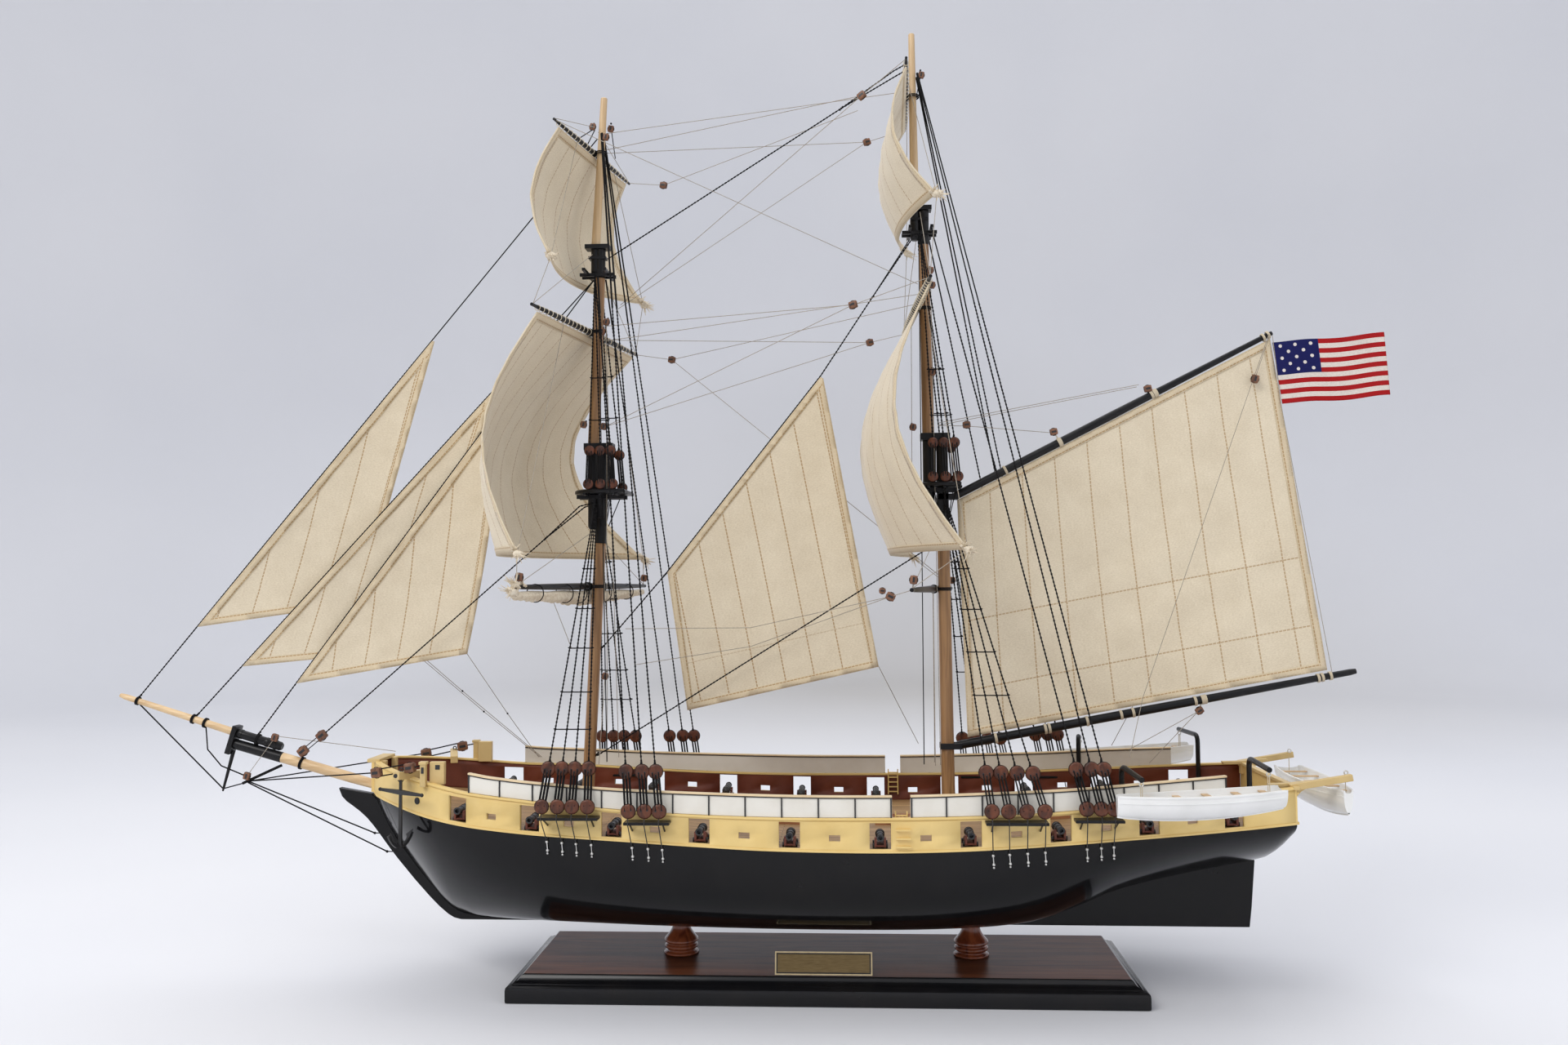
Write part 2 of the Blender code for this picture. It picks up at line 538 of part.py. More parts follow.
# Anchors
def build_anchors():
    for side, word in ((-1, "port"), (1, "starboard")):
        foot = Vector((-0.2795, side * 0.0560, 0.1000))
        head = Vector((-0.2795, side * 0.0560, 0.1441))
        shank = bmesh.new()
        add_cone(shank, foot, head, 0.0014, 0.0010, 8)
        anchor = make("anchor_" + word, shank, material("black paint", BLACK, 0.4))
        extra = bmesh.new()
        stock = Vector((0.0180, side * 0.0120, 0.0))
        centre = Vector((-0.2795, side * 0.0560, 0.1360))
        add_cone(extra, centre - stock, centre + stock, 0.0012, 0.0012, 8)
        arm = Vector((-stock.y, stock.x, 0)).normalized()
        for way in (-1, 1):
            tip = foot + arm * way * 0.0090 + Vector((0, 0, 0.0085))
            add_cone(extra, foot + Vector((0, 0, 0.0008)), tip, 0.0012, 0.0009, 8)
        combine(anchor, "stock_and_arms_" + word, extra, "UNION")


# Spars
def spar(name, line, finish, sides=14):
    start, end, radius_start, radius_end = line
    bar = bmesh.new()
    add_cone(bar, flat(start), flat(end), radius_start, radius_end, sides)
    return make(name, bar, finish)


def build_masts():
    wood = material("mast wood", MAST_WOOD, 0.35)
    pine = material("pine", PINE, 0.4)
    spar("fore_lower_mast", FORE_LOWER, wood)
    spar("main_lower_mast", MAIN_LOWER, wood)
    spar("fore_topmast", FORE_TOPMAST, wood)
    spar("main_topmast", MAIN_TOPMAST, wood)
    spar("fore_topgallant_mast", FORE_TOPGALLANT, pine)
    spar("main_topgallant_mast", MAIN_TOPGALLANT, pine)
    masthead("fore_top", FORE_DOUBLING, FORE_TOPMAST, 0.3372, (-0.1747, -0.1366))
    masthead("main_top", MAIN_DOUBLING, MAIN_TOPMAST, 0.3396, (0.0640, 0.0962))
    crosstrees("fore_crosstrees", FORE_TOPMAST[1], FORE_TOPGALLANT[0], 0.4935)
    crosstrees("main_crosstrees", MAIN_TOPMAST[1], MAIN_TOPGALLANT[0], 0.5188)


def masthead(name, doubling, topmast, platform, reach):
    """Black masthead where two spars overlap, with the top, its deadeyes and the cap."""
    black = material("black paint", BLACK, 0.4)
    start, end, radius = doubling
    pole = bmesh.new()
    add_cone(pole, flat(start), flat(end), radius, radius * 0.9, 12)
    top = make(name, pole, black)
    extra = bmesh.new()
    lower = Vector((topmast[0][0], 0, start[1] + 0.0100))
    upper = Vector((topmast[0][0], 0, end[1]))
    add_cone(extra, lower, upper, 0.0040, 0.0040, 12)
    cap_top = topmast[0][1] - GAP
    cap_low = end[1] - 0.0010
    middle_x = (end[0] + topmast[0][0]) / 2
    add_box(extra, (middle_x, 0, (cap_low + cap_top) / 2), (0.0205, 0.0110, cap_top - cap_low))
    combine(top, name + "_topmast_heel_and_cap", extra, "UNION")
    combine(top, name + "_platform", platform_shape(platform, reach), "UNION")
    eyes = bmesh.new()
    for side in (-1, 1):
        for k in range(3):
            x = reach[0] + 0.013 + 0.0085 * k
            y = side * 0.0185
            z = platform + 0.0055
            add_box(eyes, (x, y, platform + 0.0020), (0.0014, 0.0014, 0.0030))
            add_cone(eyes, (x, y - 0.0012, z), (x, y + 0.0012, z), 0.0036, 0.0036, 8)
    combine(top, name + "_deadeyes", eyes, "UNION")


def platform_shape(height, reach):
    """A top: round in front and straight behind."""
    half, steps = 0.0205, 10
    front = [(reach[0] + half - half * math.sin(math.pi * (k + 0.5) / (steps + 1)),
              -half * math.cos(math.pi * (k + 0.5) / (steps + 1))) for k in range(steps + 1)]
    outline = [(reach[1], -half)] + front + [(reach[1], half)]
    return loft([[(x, y, z) for x, y in outline] for z in (height - 0.0013, height + 0.0013)])


def crosstrees(name, below, above, height):
    """Black topmast head with the crosstrees and the upper cap."""
    black = material("black paint", BLACK, 0.4)
    low, high = below[1] + GAP, above[1] - GAP
    middle_x = (below[0] + above[0]) / 2
    block = bmesh.new()
    add_box(block, (middle_x, 0, (low + high) / 2), (0.0125, 0.0075, high - low))
    made = make(name, block, black)
    extra = bmesh.new()
    add_box(extra, (middle_x, 0, high - 0.0016), (0.0174, 0.0100, 0.0031))
    for y in (-0.0040, 0.0040):
        add_box(extra, (middle_x, y, height), (0.0245, 0.0018, 0.0024))
    combine(made, name + "_cap_and_trestles", extra, "UNION")
    arms = bmesh.new()
    for dx in (-0.0070, 0.0080):
        add_box(arms, (middle_x + dx, 0, height + 0.0010), (0.0022, 0.0340, 0.0020))
    combine(made, name + "_arms", arms, "UNION")


def build_bowsprit():
    """Bowsprit with its cap and dolphin striker, and the jibboom that passes through the cap."""
    pine = material("pine", PINE, 0.4)
    bowsprit = spar("bowsprit", BOWSPRIT, pine)
    boom = spar("jibboom", JIBBOOM, pine)
    heel = bmesh.new()
    add_cone(heel, flat(JIBBOOM_HEEL[0]), flat(JIBBOOM_HEEL[1]), JIBBOOM_HEEL[2], JIBBOOM_HEEL[2], 14)
    combine(boom, "jibboom_heel", heel, "UNION")
    cap = bmesh.new()
    lean = Matrix.Rotation(math.radians(17), 3, "Y")
    add_box(cap, (-0.4218, 0, 0.1640), (0.0036, 0.0100, 0.0205), lean)
    combine(bowsprit, "bowsprit_cap", cap, "UNION")
    hole = bmesh.new()
    add_cone(hole, flat(JIBBOOM[0]), flat(JIBBOOM[1]), JIBBOOM[2] + GAP, JIBBOOM[2] + GAP, 14)
    combine(bowsprit, "jibboom_hole", hole, "DIFFERENCE")
    striker = bmesh.new()
    add_cone(striker, (-0.4218, 0, 0.1560), (-0.4293, 0, 0.1274), 0.0014, 0.0009, 8)
    combine(bowsprit, "dolphin_striker", striker, "UNION")


def build_yards():
    black = material("black paint", BLACK, 0.4)
    for name, (middle, half, radius, tip, angle) in YARDS.items():
        centre = flat(middle)
        reach = yard_direction(angle) * half
        sides = 10
        axis = [-1.0, -0.55, -0.12, 0.12, 0.55, 1.0]
        thick = [tip, radius * 0.85, radius, radius, radius * 0.85, tip]
        ahead = Vector((0, 0, 1)).cross(yard_direction(angle))
        rings = []
        for place, r in zip(axis, thick):
            turn = [2 * math.pi * k / sides for k in range(sides)]
            rings.append([centre + reach * place + ahead * r * math.cos(a) + Vector((0, 0, r * math.sin(a)))
                          for a in turn])
        make(name, loft(rings), black)


def yard_direction(angle):
    """From port to starboard, with the port end forward for a positive angle."""
    return Vector((math.sin(math.radians(angle)), math.cos(math.radians(angle)), 0))


def build_gaff_and_boom():
    black = material("black paint", BLACK, 0.4)
    spar("gaff", GAFF, black, 10)
    spar("spanker_boom", BOOM, black, 10)


# Sails
def cloth(name, shape, columns, rows, finish):
    """A sheet of cloth: a grid bent into place and given its thickness."""
    grid = bmesh.new()
    bmesh.ops.create_grid(grid, x_segments=columns, y_segments=rows, size=0.5)
    for vert in grid.verts:
        vert.co = shape(vert.co.x + 0.5, vert.co.y + 0.5)
    sheet = make(name, grid, finish)
    thick = sheet.modifiers.new("thickness", "SOLIDIFY")
    thick.thickness = SAIL_THICK
    thick.offset = 0.0
    return sheet


def build_square_sails():
    canvas = material("sail cloth", CLOTH, 0.9)
    for name, (yard, head, clews, bow, belly, drop) in SQUARE_SAILS.items():
        middle, half, radius, tip, angle = YARDS[yard]
        port_x, starboard_x, foot, height = clews
        top = flat(middle) - Vector((0, 0, radius + 0.0010))
        head_port = top - yard_direction(angle) * head
        head_starboard = top + yard_direction(angle) * head
        clew_port = Vector((port_x, -foot, height))
        clew_starboard = Vector((starboard_x, foot, height))

        def shape(u, v, corners=(head_port, head_starboard, clew_port, clew_starboard),
                  bow=bow, belly=belly, drop=drop):
            """u runs from port to starboard and v from the foot to the head."""
            down = 1 - v
            upper = corners[0].lerp(corners[1], u)
            lower = corners[2].lerp(corners[3], u)
            place = upper.lerp(lower, down)
            middle_share = 1 - (2 * u - 1)**2
            leech = bow[0] + (bow[1] - bow[0]) * u
            place.x -= leech * math.sin(math.pi * down) + belly * middle_share * down**1.4
            place.z -= drop * middle_share * down
            return place

        cloth(name, shape, 8, 9, canvas)


def corner_sheet(corners, shifts, belly, roach=0.0):
    """A four-cornered sheet beside the centre plane that swells to starboard."""
    low_fore, low_aft, high_fore, high_aft = [flat(c, y) for c, y in zip(corners, shifts)]

    def shape(u, v):
        place = low_fore.lerp(low_aft, u).lerp(high_fore.lerp(high_aft, u), v)
        place.y += belly * math.sin(math.pi * u) * math.sin(math.pi * v)
        place.x += roach * u * math.sin(math.pi * v)
        return place

    return shape


def beside_stay(start, end, x):
    """The point at x on a stay's underside, where a sail's edge is laced."""
    run = (flat(end) - flat(start)).normalized()
    point = flat(start) + run * ((x - start[0]) / run.x)
    point += Vector((run.z, 0, -run.x)) * (STAY_RADIUS + GAP)
    return (point.x, point.z)


def build_staysails():
    canvas = material("sail cloth", CLOTH, 0.9)
    stays = {"outer": STAYS["fore_topgallant_stay"], "middle": (TOPMAST_STAYS[0], TOPMAST_STAYS[2]),
             "inner": (TOPMAST_STAYS[1], TOPMAST_STAYS[2])}
    for name, (stay, tack, head, clew, shift, roach) in JIBS.items():
        low, high = [beside_stay(*stays[stay], x) for x in (tack, head)]
        tip = (high[0] + JIB_HEAD, high[1] - 0.0005)
        cloth(name, corner_sheet((low, clew, high, tip), (0, shift, 0, 0), 0.002, roach), 6, 8, canvas)
    stay = STAYS["main_topmast_stay"][1:3]
    throat, head = [beside_stay(*stay, x) for x in (stay[0][0] + 0.0010, stay[1][0] - 0.0005)]
    tip = (head[0] + JIB_HEAD, head[1] - 0.0010)
    lower = corner_sheet((STAYSAIL_TACK, STAYSAIL_CLEW, throat, tip), (0.004, 0.008, 0.0, 0.0), 0.002)

    def shape(u, v):
        """The head runs up the stay from the throat to a narrow peak."""
        place = lower(u, v)
        ridge = flat(throat).lerp(flat(head), u)
        place += (ridge - flat(throat).lerp(flat(tip), u)) * v
        return place

    cloth("main_topmast_staysail", shape, 8, 8, canvas)
    cloth("spanker", corner_sheet(SPANKER, (0, 0, 0, 0), 0.006), 8, 8, canvas)
    flag = material("flag cloth", (0.60, 0.10, 0.10), 0.8)
    cloth("flag", corner_sheet(FLAG, (-0.0014, -0.001, -0.0014, -0.001), 0.002), 6, 4, flag)


def build_furled_course():
    """The fore course rolled up and lashed under its yard."""
    middle, half, radius, tip, angle = YARDS["fore_lower_yard"]
    direction = yard_direction(angle)
    places = [-1.03, -0.95, -0.75, -0.45, -0.15, 0.15, 0.45, 0.75, 0.95]
    thick = [0.0015, 0.0030, 0.0034, 0.0042, 0.0052, 0.0052, 0.0042, 0.0032, 0.0020]
    rings, sides = [], 10
    ahead = Vector((0, 0, 1)).cross(direction)
    for place, r in zip(places, thick):
        centre = flat(middle) + direction * half * place - Vector((0, 0, radius + r + 0.0006))
        centre += ahead * max(0.0, r - radius + GAP)
        rings.append([centre + ahead * r * math.cos(2 * math.pi * k / sides)
                      + Vector((0, 0, r * math.sin(2 * math.pi * k / sides))) for k in range(sides)])
    make("fore_course_furled", loft(rings), material("sail cloth", CLOTH, 0.9))


# Stays
def build_stays():
    line = material("black cordage", (0.02, 0.02, 0.022), 0.8)
    for name, points in STAYS.items():
        make(name, sweep([flat(p) for p in points], STAY_RADIUS), line)
    low_jib, low_topmast, head = TOPMAST_STAYS
    pair = make("fore_topmast_stays", sweep([flat(low_jib), flat(head)], STAY_RADIUS), line)
    combine(pair, "fore_topmast_stay_inner", sweep([flat(low_topmast), flat(head)], STAY_RADIUS), "UNION")


clear_scene()
build_stand()
build_hull()
build_backbone()
build_bulwark()
build_deck()
build_netting()
build_transom()
build_boats()
build_anchors()
build_masts()
build_bowsprit()
build_yards()
build_gaff_and_boom()
build_square_sails()
build_staysails()
build_furled_course()
build_stays()
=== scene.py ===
import bmesh
import bpy
import random
from bmesh import ops
from bmesh.types import BMFace, BMVert
from math import acos, ceil, cos, exp, pi, radians, sin
from mathutils import Matrix, Vector


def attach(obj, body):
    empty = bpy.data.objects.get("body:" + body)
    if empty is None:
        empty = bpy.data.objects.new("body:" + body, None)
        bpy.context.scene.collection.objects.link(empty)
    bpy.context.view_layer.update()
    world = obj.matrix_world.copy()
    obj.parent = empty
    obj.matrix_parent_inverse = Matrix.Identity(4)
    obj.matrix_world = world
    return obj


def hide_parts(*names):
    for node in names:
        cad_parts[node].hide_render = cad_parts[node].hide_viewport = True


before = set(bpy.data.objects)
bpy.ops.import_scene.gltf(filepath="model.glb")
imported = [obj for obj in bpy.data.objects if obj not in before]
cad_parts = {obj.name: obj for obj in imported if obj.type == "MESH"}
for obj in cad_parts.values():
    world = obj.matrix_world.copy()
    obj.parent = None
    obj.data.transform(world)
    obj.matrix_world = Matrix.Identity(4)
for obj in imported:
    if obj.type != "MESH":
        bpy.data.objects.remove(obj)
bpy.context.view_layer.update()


# Camera and studio
# The camera stands on the port side at the height of the lower yards, with a 29 mm lens.
# A pale paper floor rises into a round wall, with a painted shadow behind the model; soft boxes light the model from
# above.
scene = bpy.context.scene
lens = bpy.data.cameras.new("camera")
lens.lens, lens.sensor_width, lens.clip_start = 29.06, 36.0, 0.01
camera = bpy.data.objects.new("camera", lens)
yaw, pitch, roll = radians(3.2455), radians(2.785), radians(-0.4125)
camera.matrix_world = (Matrix.Translation((0.0238, -0.8878, 0.2722)) @ Matrix.Rotation(yaw, 4, "Z")
                       @ Matrix.Rotation(pi / 2 + pitch, 4, "X") @ Matrix.Rotation(roll, 4, "Z"))
scene.collection.objects.link(camera)
scene.camera = camera


def node_material(name, roughness, **sockets):
    """A material; constants such as coat or sheen go on the shader's own sockets."""
    made = bpy.data.materials.new(name)
    made.use_nodes = True
    shader = made.node_tree.nodes["Principled BSDF"]
    shader.inputs["Roughness"].default_value = roughness
    for socket, value in sockets.items():
        shader.inputs[socket.replace("_", " ")].default_value = value
    return made, made.node_tree, shader


def add_node(tree, kind, links=(), **settings):
    """A node with its settings; links pairs an input with a socket or with a plain value."""
    node = tree.nodes.new("ShaderNode" + kind)
    for key, value in settings.items():
        setattr(node, key, value)
    for place, value in links:
        if isinstance(value, bpy.types.NodeSocket):
            tree.links.new(value, node.inputs[place])
        else:
            node.inputs[place].default_value = value
    return node


def maths(tree, operation, *values, kind="Math"):
    """The result of one sum; kind VectorMath works on places."""
    made = add_node(tree, kind, enumerate(values), operation=operation)
    return made.outputs["Value" if operation == "LENGTH" else 0]


def noise(tree, place, scale, detail=2.0, **more):
    links = [("Vector", place), ("Scale", scale), ("Detail", detail), *more.items()]
    return add_node(tree, "TexNoise", links).outputs["Fac"]


def map_range(tree, value, *ends):
    return add_node(tree, "MapRange", enumerate((value, *ends))).outputs[0]


def own_place(tree, stretch=None, turn=(0, 0, 0)):
    """Where a point lies on the piece, with the pattern squeezed along each axis."""
    place = add_node(tree, "TexCoord").outputs["Object"]
    if not stretch:
        return place
    return add_node(tree, "Mapping", [("Vector", place), ("Rotation", turn), ("Scale", stretch)]).outputs[0]


def blend_colours(tree, share, first, second, **settings):
    """A mix of two colours, each given as a socket or as red, green and blue."""
    ends = [(*c, 1.0) if isinstance(c, tuple) else c for c in (first, second)]
    return add_node(tree, "Mix", [(0, share), (6, ends[0]), (7, ends[1])], data_type="RGBA", **settings).outputs[2]


def colour_with(tree, shader, colour):
    tree.links.new(colour, shader.inputs["Base Color"])


def turned(profile, steps=32, start=None):
    """A lathe-turned shape round the Z axis, from pairs of radius and height."""
    bm = start or bmesh.new()
    line = [bm.verts.new((r, 0, z)) for r, z in profile]
    edges = [bm.edges.new(pair) for pair in zip(line, line[1:])]
    ops.spin(bm, geom=line + edges, cent=(0, 0, 0), axis=(0, 0, 1), angle=2 * pi, steps=steps, use_merge=True)
    ops.remove_doubles(bm, verts=bm.verts, dist=0.00001)
    return bm


def finished(name, bm, finish, sharp):
    """Turn a bmesh into an object with its finishes and its sharp edges."""
    ops.recalc_face_normals(bm, faces=bm.faces)
    mesh = bpy.data.meshes.new(name)
    bm.to_mesh(mesh)
    bm.free()
    mesh.shade_smooth()
    mesh.set_sharp_from_angle(angle=radians(sharp))
    for one in (finish if isinstance(finish, tuple) else (finish,)):
        mesh.materials.append(one)
    made = bpy.data.objects.new(name, mesh)
    scene.collection.objects.link(made)
    return made


def aimed(direction, axis="Z", up="Y"):
    return direction.to_track_quat(axis, up).to_matrix().to_4x4()


paper, tree, shader = node_material("studio_paper", 0.9)
place = own_place(tree)
# Painted shadow: near a point on the floor behind the model the paper darkens to warm grey, standing in for the model's
# shadow.
from_painted_shadow = maths(tree, "SUBTRACT", place, (0.15, 2.4, 0.0), kind="VectorMath")
from_painted_shadow = maths(tree, "LENGTH", from_painted_shadow, kind="VectorMath")
pale_paper = blend_colours(tree, noise(tree, place, 1.3), (0.7, 0.71, 0.745), (0.8, 0.8, 0.815))
colour_with(tree, shader, blend_colours(tree, map_range(tree, from_painted_shadow, 1.6, 0.2, 0.0, 0.85), pale_paper,
                                        (0.55, 0.53, 0.5)))
bend = 0.9
quarter_turn = [pi / 2 * k / 12 for k in range(13)]
profile = [(2.6 + bend * sin(a), bend - bend * cos(a)) for a in quarter_turn]
finished("studio", turned([(0.0, 0.0), (1.2, 0.0), *profile, (3.5, 3.2)], 64), paper, 180)

world = bpy.data.worlds.new("studio_air")
world.use_nodes = True
air = world.node_tree.nodes["Background"].inputs
air["Color"].default_value = (0.935, 0.95, 1.0, 1)
air["Strength"].default_value = 0.95
scene.world = world
scene.view_settings.view_transform = "Standard"

for name, place, target, width, height, power, colour in (
        ("soft_box_key", (-1.2, -1.5, 1.9), (0, 0, 0.25), 1.4, 1.0, 26, (1.0, 0.98, 0.95)),
        ("soft_box_fill", (1.6, -1.2, 1.0), (0, 0, 0.2), 1.2, 1.2, 4, (0.97, 0.98, 1.0)),
        ("soft_box_top", (0.1, 0.5, 2.2), (0, 0, 0.2), 1.8, 1.2, 12, (1.0, 1.0, 1.0))):
    light = bpy.data.lights.new(name, "AREA")
    light.shape = "RECTANGLE"
    light.size, light.size_y, light.energy, light.color = width, height, power, colour
    lamp = bpy.data.objects.new(name, light)
    lamp.matrix_world = Matrix.Translation(place) @ aimed(Vector(target) - Vector(place), "-Z")
    scene.collection.objects.link(lamp)


# Stand
# A moulded board of stained hardwood under clear lacquer, with its stepped edge painted black.
# Two turned pedestals are screwed up through it and carry the keel.
def effect(name, inputs, outputs):
    """A shared effect; it puts out only colours, masks and values."""
    kinds = {tuple: "NodeSocketColor", float: "NodeSocketFloat", Vector: "NodeSocketVector"}
    group = bpy.data.node_groups.new(name, "ShaderNodeTree")
    for title, value in inputs.items():
        socket = group.interface.new_socket(title, in_out="INPUT", socket_type=kinds[type(value)])
        socket.default_value = (*value, 1.0) if isinstance(value, tuple) else value
    for title, kind in outputs.items():
        group.interface.new_socket(title, in_out="OUTPUT", socket_type="NodeSocket" + kind)
    enter, leave = group.nodes.new("NodeGroupInput"), group.nodes.new("NodeGroupOutput")
    return group, enter.outputs, leave.inputs


streaked_wood, enter, leave = effect(
    "streaked_wood", {"Vector": Vector(), "Pale": (0.5, 0.3, 0.1), "Deep": (0.2, 0.1, 0.05)},
    {"Color": "Color", "Height": "Float"})
broad = noise(streaked_wood, enter["Vector"], 1.0, 6.0, Distortion=0.6)
pores = noise(streaked_wood, enter["Vector"], 9.0, 3.0)
streaks = blend_colours(streaked_wood, map_range(streaked_wood, broad, 0.35, 0.68), enter["Pale"], enter["Deep"])
streaked_wood.links.new(streaks, leave["Color"])
streaked_wood.links.new(maths(streaked_wood, "ADD", broad, pores), leave["Height"])

worn_paint, enter, leave = effect(
    "worn_paint", {"Vector": Vector(), "Paint": (0.5, 0.5, 0.5), "Shade": (0.4, 0.4, 0.4), "Roughness": 0.4},
    {"Color": "Color", "Roughness": "Float", "Height": "Float"})
cloudy = noise(worn_paint, enter["Vector"], 45.0, 5.0)
clouds = blend_colours(worn_paint, map_range(worn_paint, cloudy, 0.42, 0.75), enter["Paint"], enter["Shade"])
worn_paint.links.new(clouds, leave["Color"])
worn_paint.links.new(maths(worn_paint, "MULTIPLY_ADD", cloudy, 0.12, enter["Roughness"]), leave["Roughness"])
worn_paint.links.new(noise(worn_paint, enter["Vector"], 380.0), leave["Height"])


def use_effect(tree, group, values):
    node = tree.nodes.new("ShaderNodeGroup")
    node.node_tree = group
    for title, value in values.items():
        if isinstance(value, bpy.types.NodeSocket):
            tree.links.new(value, node.inputs[title])
        else:
            node.inputs[title].default_value = (*value, 1.0) if isinstance(value, tuple) else value
    return node.outputs


def relief(tree, shader, height, strength, distance=0.0002):
    bump = add_node(tree, "Bump", [("Height", height), ("Strength", strength), ("Distance", distance)])
    tree.links.new(bump.outputs["Normal"], shader.inputs["Normal"])


def painted(name, paint, shade, roughness, strength=0.12, **sockets):
    """Brushed paint with slight clouding and strokes."""
    made, tree, shader = node_material(name, roughness, **sockets)
    outputs = use_effect(tree, worn_paint, {"Vector": own_place(tree), "Paint": paint, "Shade": shade,
                                            "Roughness": roughness})
    colour_with(tree, shader, outputs["Color"])
    tree.links.new(outputs["Roughness"], shader.inputs["Roughness"])
    relief(tree, shader, outputs["Height"], strength)
    return made


def wooden(name, pale, deep, along, roughness, turn=(0, 0, 0), **sockets):
    """Bare or stained wood; along gives how tight the grain is on each axis."""
    made, tree, shader = node_material(name, roughness, **sockets)
    outputs = use_effect(tree, streaked_wood, {"Vector": own_place(tree, along, turn), "Pale": pale, "Deep": deep})
    colour_with(tree, shader, outputs["Color"])
    relief(tree, shader, outputs["Height"], 0.25)
    return made


def keep(name, bm, finish, slot, *stands_for, sharp=35):
    """Finish a piece; it rides on the model and takes the place of the nodes it stands for."""
    made = finished(name, bm, finish, sharp)
    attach(made, "root")
    if stands_for:
        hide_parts(*stands_for)
    return made


def skin_rings(bm, rings):
    """Bridge one closed ring of points to the next, and close both ends."""
    loops = []
    for ring in rings:
        verts = [bm.verts.new(point) for point in ring]
        loops.append([bm.edges.new(pair) for pair in zip(verts, verts[1:] + verts[:1])])
    for low, high in zip(loops, loops[1:]):
        ops.bridge_loops(bm, edges=low + high)
    for loop in (loops[0], loops[-1]):
        ops.edgeloop_fill(bm, edges=loop)


def mm(*lengths):
    """Lengths written in millimetres, given back in metres."""
    return tuple(mm(*one) if isinstance(one, tuple) else round(one / 1000, 7) for one in lengths)


gloss_black_edge = painted("black_lacquer", (0.006, 0.006, 0.007), (0.01, 0.009, 0.009), 0.14, 0.04,
                           Specular_IOR_Level=0.25, Coat_Weight=0.15, Coat_Roughness=0.08)
board_top = wooden("stained_board", (0.17, 0.06, 0.028), (0.07, 0.022, 0.011), (14, 140, 140), 0.3,
                   Specular_IOR_Level=0.1, Coat_Weight=0.04, Coat_Roughness=0.12)
profile = mm((206.6, 59.5, 0), (207.6, 60.5, 0.6), (207.8, 60.7, 2), (207.8, 60.7, 8.5), (207.4, 60.3, 10.2),
             (206.2, 59.1, 11.2), (204.4, 57.3, 11.6), (204, 56.9, 12), (203.4, 56.1, 12.4), (202, 54.9, 12.8),
             (200.8, 53.9, 13.5), (199.8, 53, 14.5), (199, 52.2, 15.8), (198.4, 51.6, 16.6), (197.6, 50.9, 17))
board = bmesh.new()
skin_rings(board, [[(-x, -y, z), (x, -y, z), (x, y, z), (-x, y, z)] for x, y, z in profile])
for face in board.faces:
    face.normal_update()
    if face.calc_center_median().z > 0.0169:
        face.material_index = 1
keep("base_board_moulded", board, (gloss_black_edge, board_top), "stained_base", "base_board", sharp=25)

pedestal_wood = wooden("pedestal_wood", (0.33, 0.085, 0.03), (0.12, 0.023, 0.01), (160, 160, 30), 0.22,
                       Coat_Weight=0.35, Coat_Roughness=0.1)
profile = mm((0, 37.5), (6, 37.5), (6.2, 37), (6.3, 35.6), (6.7, 34), (7.6, 32.2), (8.8, 30.5), (10.3, 28.8),
             (11.5, 27.4), (11.9, 26.4), (11.8, 25.7), (11, 25.2), (10.1, 24.9), (9.9, 24.4), (10.1, 23.9),
             (10.9, 23.6), (11.5, 23), (11.7, 22.2), (11.3, 21.4), (10.5, 20.9), (9.8, 20.6), (9.6, 20),
             (9.9, 19.4), (11.2, 19.1), (12.1, 18.6), (12.2, 18), (12, 17.4), (0, 17.3))
for name, x in (("pedestal_fore", -0.1), ("pedestal_aft", 0.1)):
    pedestal = turned(profile, 64)
    ops.translate(pedestal, vec=(x, 0, 0), verts=pedestal.verts)
    keep(name + "_turned", pedestal, pedestal_wood, "turned_wood", name, sharp=60)


# Plate
# A small blank brass plate stands on the front of the board, bent back a little at its foot.
# A dark line is engraved inside its bright edge.
def speckled(name, roughness, scale, first, second, bump=0.0, detail=2.0, stretch=None, **sockets):
    """A finish of two colours in fine specks, fibres or brush lines."""
    made, tree, shader = node_material(name, roughness, **sockets)
    specks = noise(tree, own_place(tree, stretch), scale, detail)
    colour_with(tree, shader, blend_colours(tree, specks, first, second))
    if bump:
        relief(tree, shader, specks, bump, 0.0001)
    return made


brass = speckled("brushed_brass", 0.3, 3.0, (0.3, 0.215, 0.1), (0.1, 0.066, 0.03), 0.2, 4.0, (60, 900, 900),
                 Metallic=1.0)
engraving = painted("engraved_line", (0.012, 0.009, 0.006), (0.02, 0.015, 0.01), 0.5)
bright_brass = speckled("worn_bright_brass", 0.25, 300.0, (0.74, 0.6, 0.36), (0.5, 0.38, 0.2), Metallic=1.0)
plate = bmesh.new()
ops.create_cube(plate, size=1.0)
ops.scale(plate, vec=mm(63.5, 0.8, 14.6), verts=plate.verts)
front = min(plate.faces, key=lambda f: f.calc_center_median().y)
for index in (2, 1):
    before = set(plate.faces)
    ops.inset_region(plate, faces=[front], thickness=0.0009, depth=0.0, use_even_offset=True)
    for face in set(plate.faces) - before:
        face.material_index = index
ops.rotate(plate, cent=(0, 0, 0), matrix=Matrix.Rotation(radians(-14), 3, "X"), verts=plate.verts)
ops.translate(plate, vec=mm(0, -49, 24.7), verts=plate.verts)
keep("name_plate_blank", plate, (brass, engraving, bright_brass), "brass", "name_plate")


